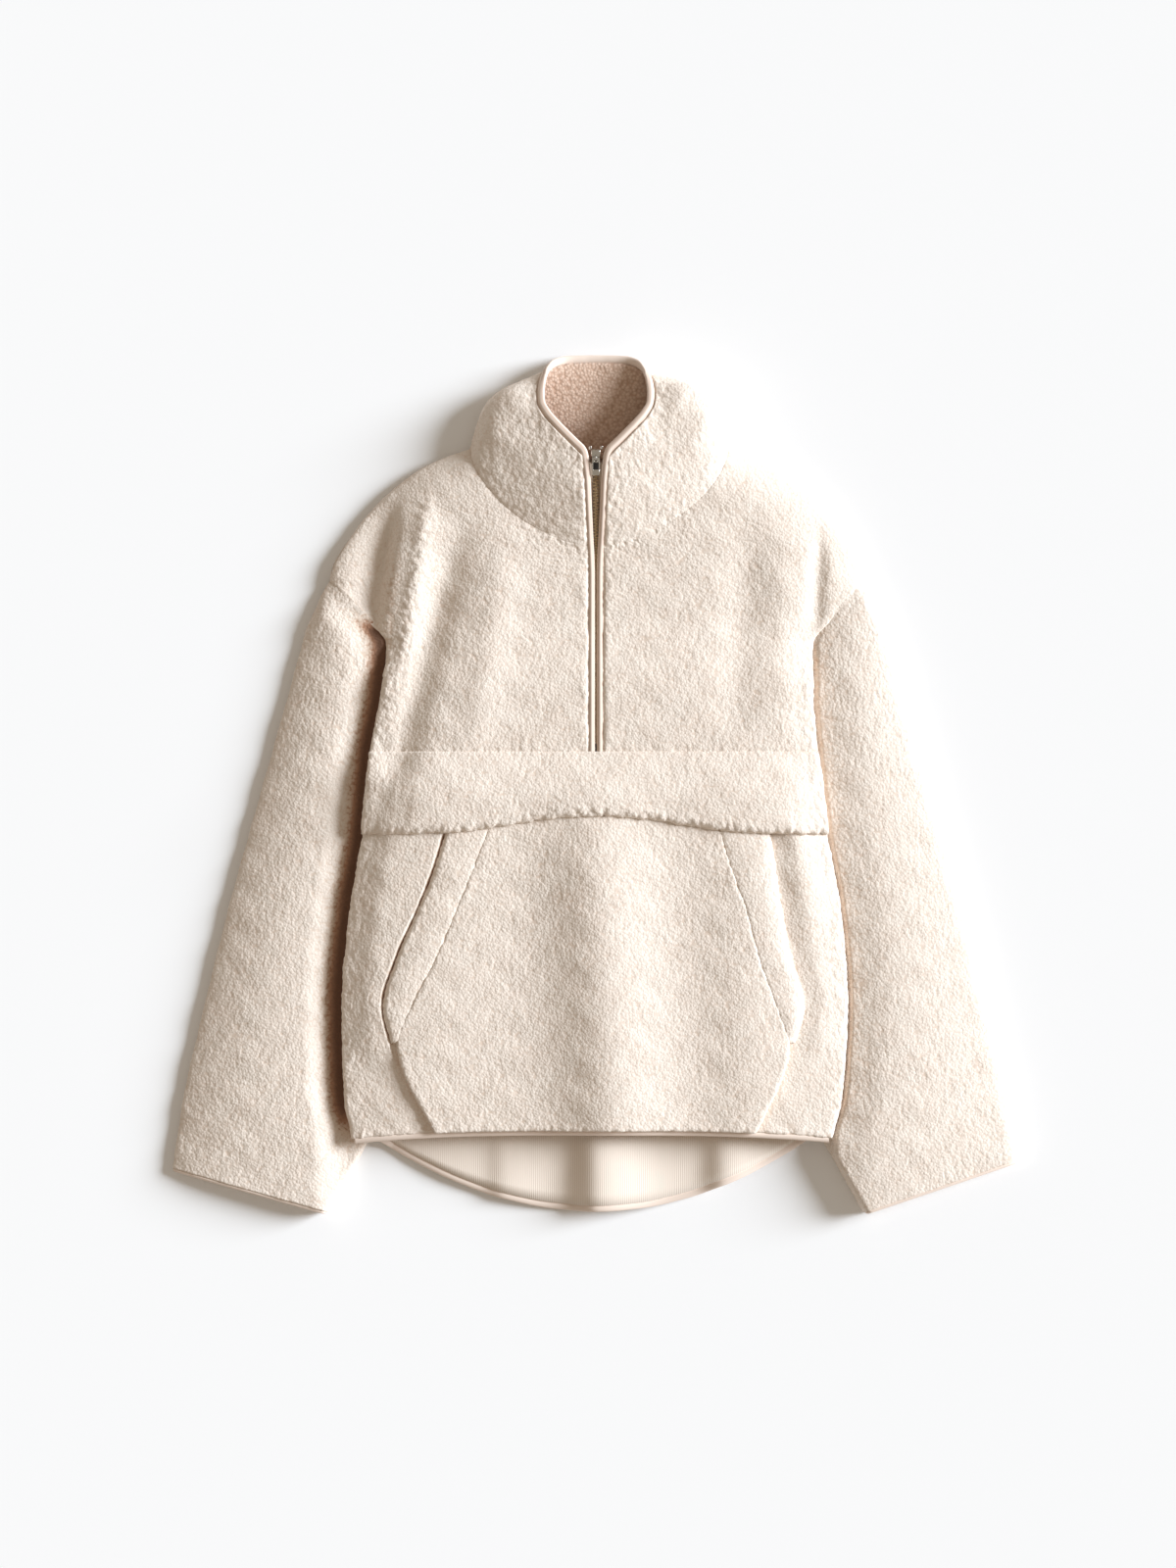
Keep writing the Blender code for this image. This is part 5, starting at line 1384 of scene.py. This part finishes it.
def together(shapes):
    """Points and faces of several shapes as one, and which shape each face comes from."""
    start, points, faces, which = 0, [], [], []
    for k, (some_points, some_faces) in enumerate(shapes):
        points.append(some_points)
        faces += [[start + i for i in face] for face in some_faces]
        which += [k] * len(some_faces)
        start += len(some_points)
    return np.concatenate(points), faces, np.array(which, np.int32)


places = np.arange(ZIP_FOOT_Y + 0.8, SLIDER_Y - 1.0, TOOTH_PITCH)
line, up = centre_front(places)
tooth, tooth_faces = slab(rounded(-1.75, 1.75, -0.62, 0.62, 0.3, 2), -1.3, 1.3, 0.35)
to_side = np.where(np.arange(len(places)) % 2, 1.0, -1.0)[:, None] * [TOOTH_OUT, 0, 0]
along = unit(np.cross(up, [1.0, 0, 0]))
deep = CHAIN_DEPTH - TOOTH_RISE * ease((SLIDER_Y - 12 - places) / 14)
shapes = [
    (centre + tooth @ np.array([(1, 0, 0), forward, outward]), tooth_faces)
    for centre, forward, outward in zip(line - up * deep[:, None] + to_side, along, up, strict=True)
]
points, faces, _ = together(shapes)
made = crisp_piece("zip_teeth", points, faces, (BRASS,))
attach(made, "garment")
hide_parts("zip_chain")

# ==== Slider ==============================================================================
# A die-cast slider closed to the top: two plates joined by a post between the teeth, with a
# bail on the upper one. A metal stop is clamped on each tape just above it.
SLIDER_LOW, SLIDER_HIGH = -8.5, -3.1
BAIL_Y, AXIS_Z = 4.5, 0.8  # where the pull's pin lies, from the slider's lower end and the line
BAIL_RADIUS = 1.25
point, up = centre_front(np.array([SLIDER_Y]))
along = unit(np.cross(up[0], [1.0, 0, 0]))
slider_frame = np.array([(1, 0, 0), along * np.sign(along[1]), up[0]])


def placed(shapes):
    """The shapes moved from the slider's own frame to their place on the zip."""
    points, faces, which = together(shapes)
    return points @ slider_frame + point[0], faces, which


shield = [
    (-2.9, 0.3), (-1.8, 0), (1.8, 0), (2.9, 0.3), (3.3, 3.5), (4.3, 7.5), (4.2, 10.4),
    (2.6, 11.5), (0, 11.1), (-2.6, 11.5), (-4.2, 10.4), (-4.3, 7.5), (-3.3, 3.5),
]
post = rounded(-0.9, 0.9, 7.0, 11.0, 0.5)
walls = [rounded(x, x + 0.7, 0.3, 6.5, 0.2) for x in (-3.3, 2.6)]
turn = np.linspace(math.pi, 0, 9)
arch = [(1.9, -3.4), (2.6, -1.2), (3.2, 0.4)]
arch += [(BAIL_Y + BAIL_RADIUS * math.cos(a), AXIS_Z + BAIL_RADIUS * math.sin(a)) for a in turn]
arch += [(5.8, 0.4), (6.4, -1.2), (7.1, -3.4)]
arch = np.array([(0, y, z) for y, z in arch])
sideways = np.broadcast_to([1.0, 0, 0], arch.shape)
outward = unit(np.cross(unit(np.gradient(arch, axis=0)), sideways))
band = rounded(-0.9, 0.9, -0.5, 0.5, 0.3)
shapes = [
    slab(shield, SLIDER_LOW, SLIDER_LOW + 1.3, 0.35),
    slab(shield, SLIDER_HIGH - 1.3, SLIDER_HIGH, 0.4),
    slab(post, SLIDER_LOW + 1, SLIDER_HIGH - 1, 0.1),
    *(slab(wall, SLIDER_LOW + 1, SLIDER_HIGH - 1, 0.1) for wall in walls),
    swept(arch, sideways, outward, band),
]
points, faces, _ = placed(shapes)
made = crisp_piece("slider_body", points, faces, (STEEL,))
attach(made, "garment")
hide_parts("zip_slider")

shapes = [slab(rounded(x - 1.1, x + 1.1, 11.9, 15.0, 0.5), -6.6, -3.4, 0.4) for x in (-5.2, 5.2)]
points, faces, _ = placed(shapes)
made = crisp_piece("top_stops", points, faces, (STEEL,))
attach(made, "garment")

# ==== Pull tab ============================================================================
# A flat metal tab with a dark enamelled panel. Its pin turns in the slider's bail, which
# passes through the slot beside the pin.
TAB_HALF, TAB_LONG, PIN_RADIUS = 3.4, 17, 0.65
# Across the tab, from and to: what holds the pin at each side, and the sides of its window
TAB_EARS, TAB_BARS = ((-TAB_HALF, -1.5), (1.5, TAB_HALF)), ((-TAB_HALF, -2.5), (2.5, TAB_HALF))
pin_path = np.array([(x, BAIL_Y, AXIS_Z) for x in (-TAB_HALF, TAB_HALF)])
turn = np.linspace(0, 2 * math.pi, 13)[:-1]
pin_round = [(PIN_RADIUS * math.cos(a), PIN_RADIUS * math.sin(a)) for a in turn]
pin = swept(pin_path, *np.broadcast_to([[[0, 1.0, 0]], [[0, 0, 1.0]]], (2, 2, 3)), pin_round)
low, high = AXIS_Z - 1, AXIS_Z + 0.4
end = BAIL_Y + 1.2 - TAB_LONG
shapes = [
    pin,
    *(
        slab(rounded(*ear, BAIL_Y - 3.4, BAIL_Y + 0.5, 0.4), AXIS_Z - PIN_RADIUS, high, 0.2)
        for ear in TAB_EARS
    ),
    slab(rounded(-TAB_HALF, TAB_HALF, BAIL_Y - 3.8, BAIL_Y - 2.6, 0.3), low, high, 0.2),
    *(slab(rounded(*bar, BAIL_Y - 11, BAIL_Y - 3, 0.3), low, high, 0.2) for bar in TAB_BARS),
    slab(rounded(-TAB_HALF, TAB_HALF, end, BAIL_Y - 10.4, 1.2), low, high, 0.3),
    slab(rounded(-2.7, 2.7, BAIL_Y - 10.6, BAIL_Y - 3.4, 0.2), low + 0.3, high - 0.35, 0.1),
]
points, faces, which = placed(shapes)
made = crisp_piece("pull_plate", points, faces, (STEEL, DARK), which == len(shapes) - 1)
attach(made, "pull_tab")
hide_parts("zip_pull")

# ==== Floor, light and camera =============================================================
# A pale floor under the jacket, one large soft lamp low on the right, and even light from
# all round. The camera looks straight down with a long lens.

# Smooth matt paper: nearly white, with no gloss
floor_finish, _, _ = new_finish("floor_paper", Base_Color=(0.947, 0.95, 0.955, 1), Roughness=0.9)
mesh = bpy.data.meshes.new("floor")
mesh.from_pydata(
    [(x, y, -0.0006) for x, y in ((-6, -6), (6, -6), (6, 6), (-6, 6))], [], [(0, 1, 2, 3)]
)
mesh.materials.append(floor_finish)
floor = in_scene("floor", mesh)
floor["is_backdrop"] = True

lamp = bpy.data.lights.new("window", "SUN")
lamp.energy, lamp.angle = 6.78, math.radians(26)
lamp.color = (0.86, 0.925, 1.0)
height, turned = math.radians(20), math.radians(14)
towards = Vector((math.cos(turned), math.sin(turned), math.tan(height)))
in_scene("window", lamp).rotation_euler = towards.to_track_quat("Z", "Y").to_euler()

world = bpy.data.worlds.new("room")
world.use_nodes = True
room = world.node_tree.nodes["Background"]
room.inputs["Color"].default_value = (1, 0.87, 0.72, 1)
room.inputs["Strength"].default_value = 0.366
bpy.context.scene.world = world

lens = bpy.data.cameras.new("camera")
lens.lens, lens.sensor_fit, lens.clip_end = 150, "VERTICAL", 50
lens.sensor_width = lens.sensor_height = 36
camera = in_scene("camera", lens)
camera.location = (-0.0072, 0.00225, 6.0)
bpy.context.scene.camera = camera
bpy.context.scene.view_settings.view_transform = "Standard"

low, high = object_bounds()
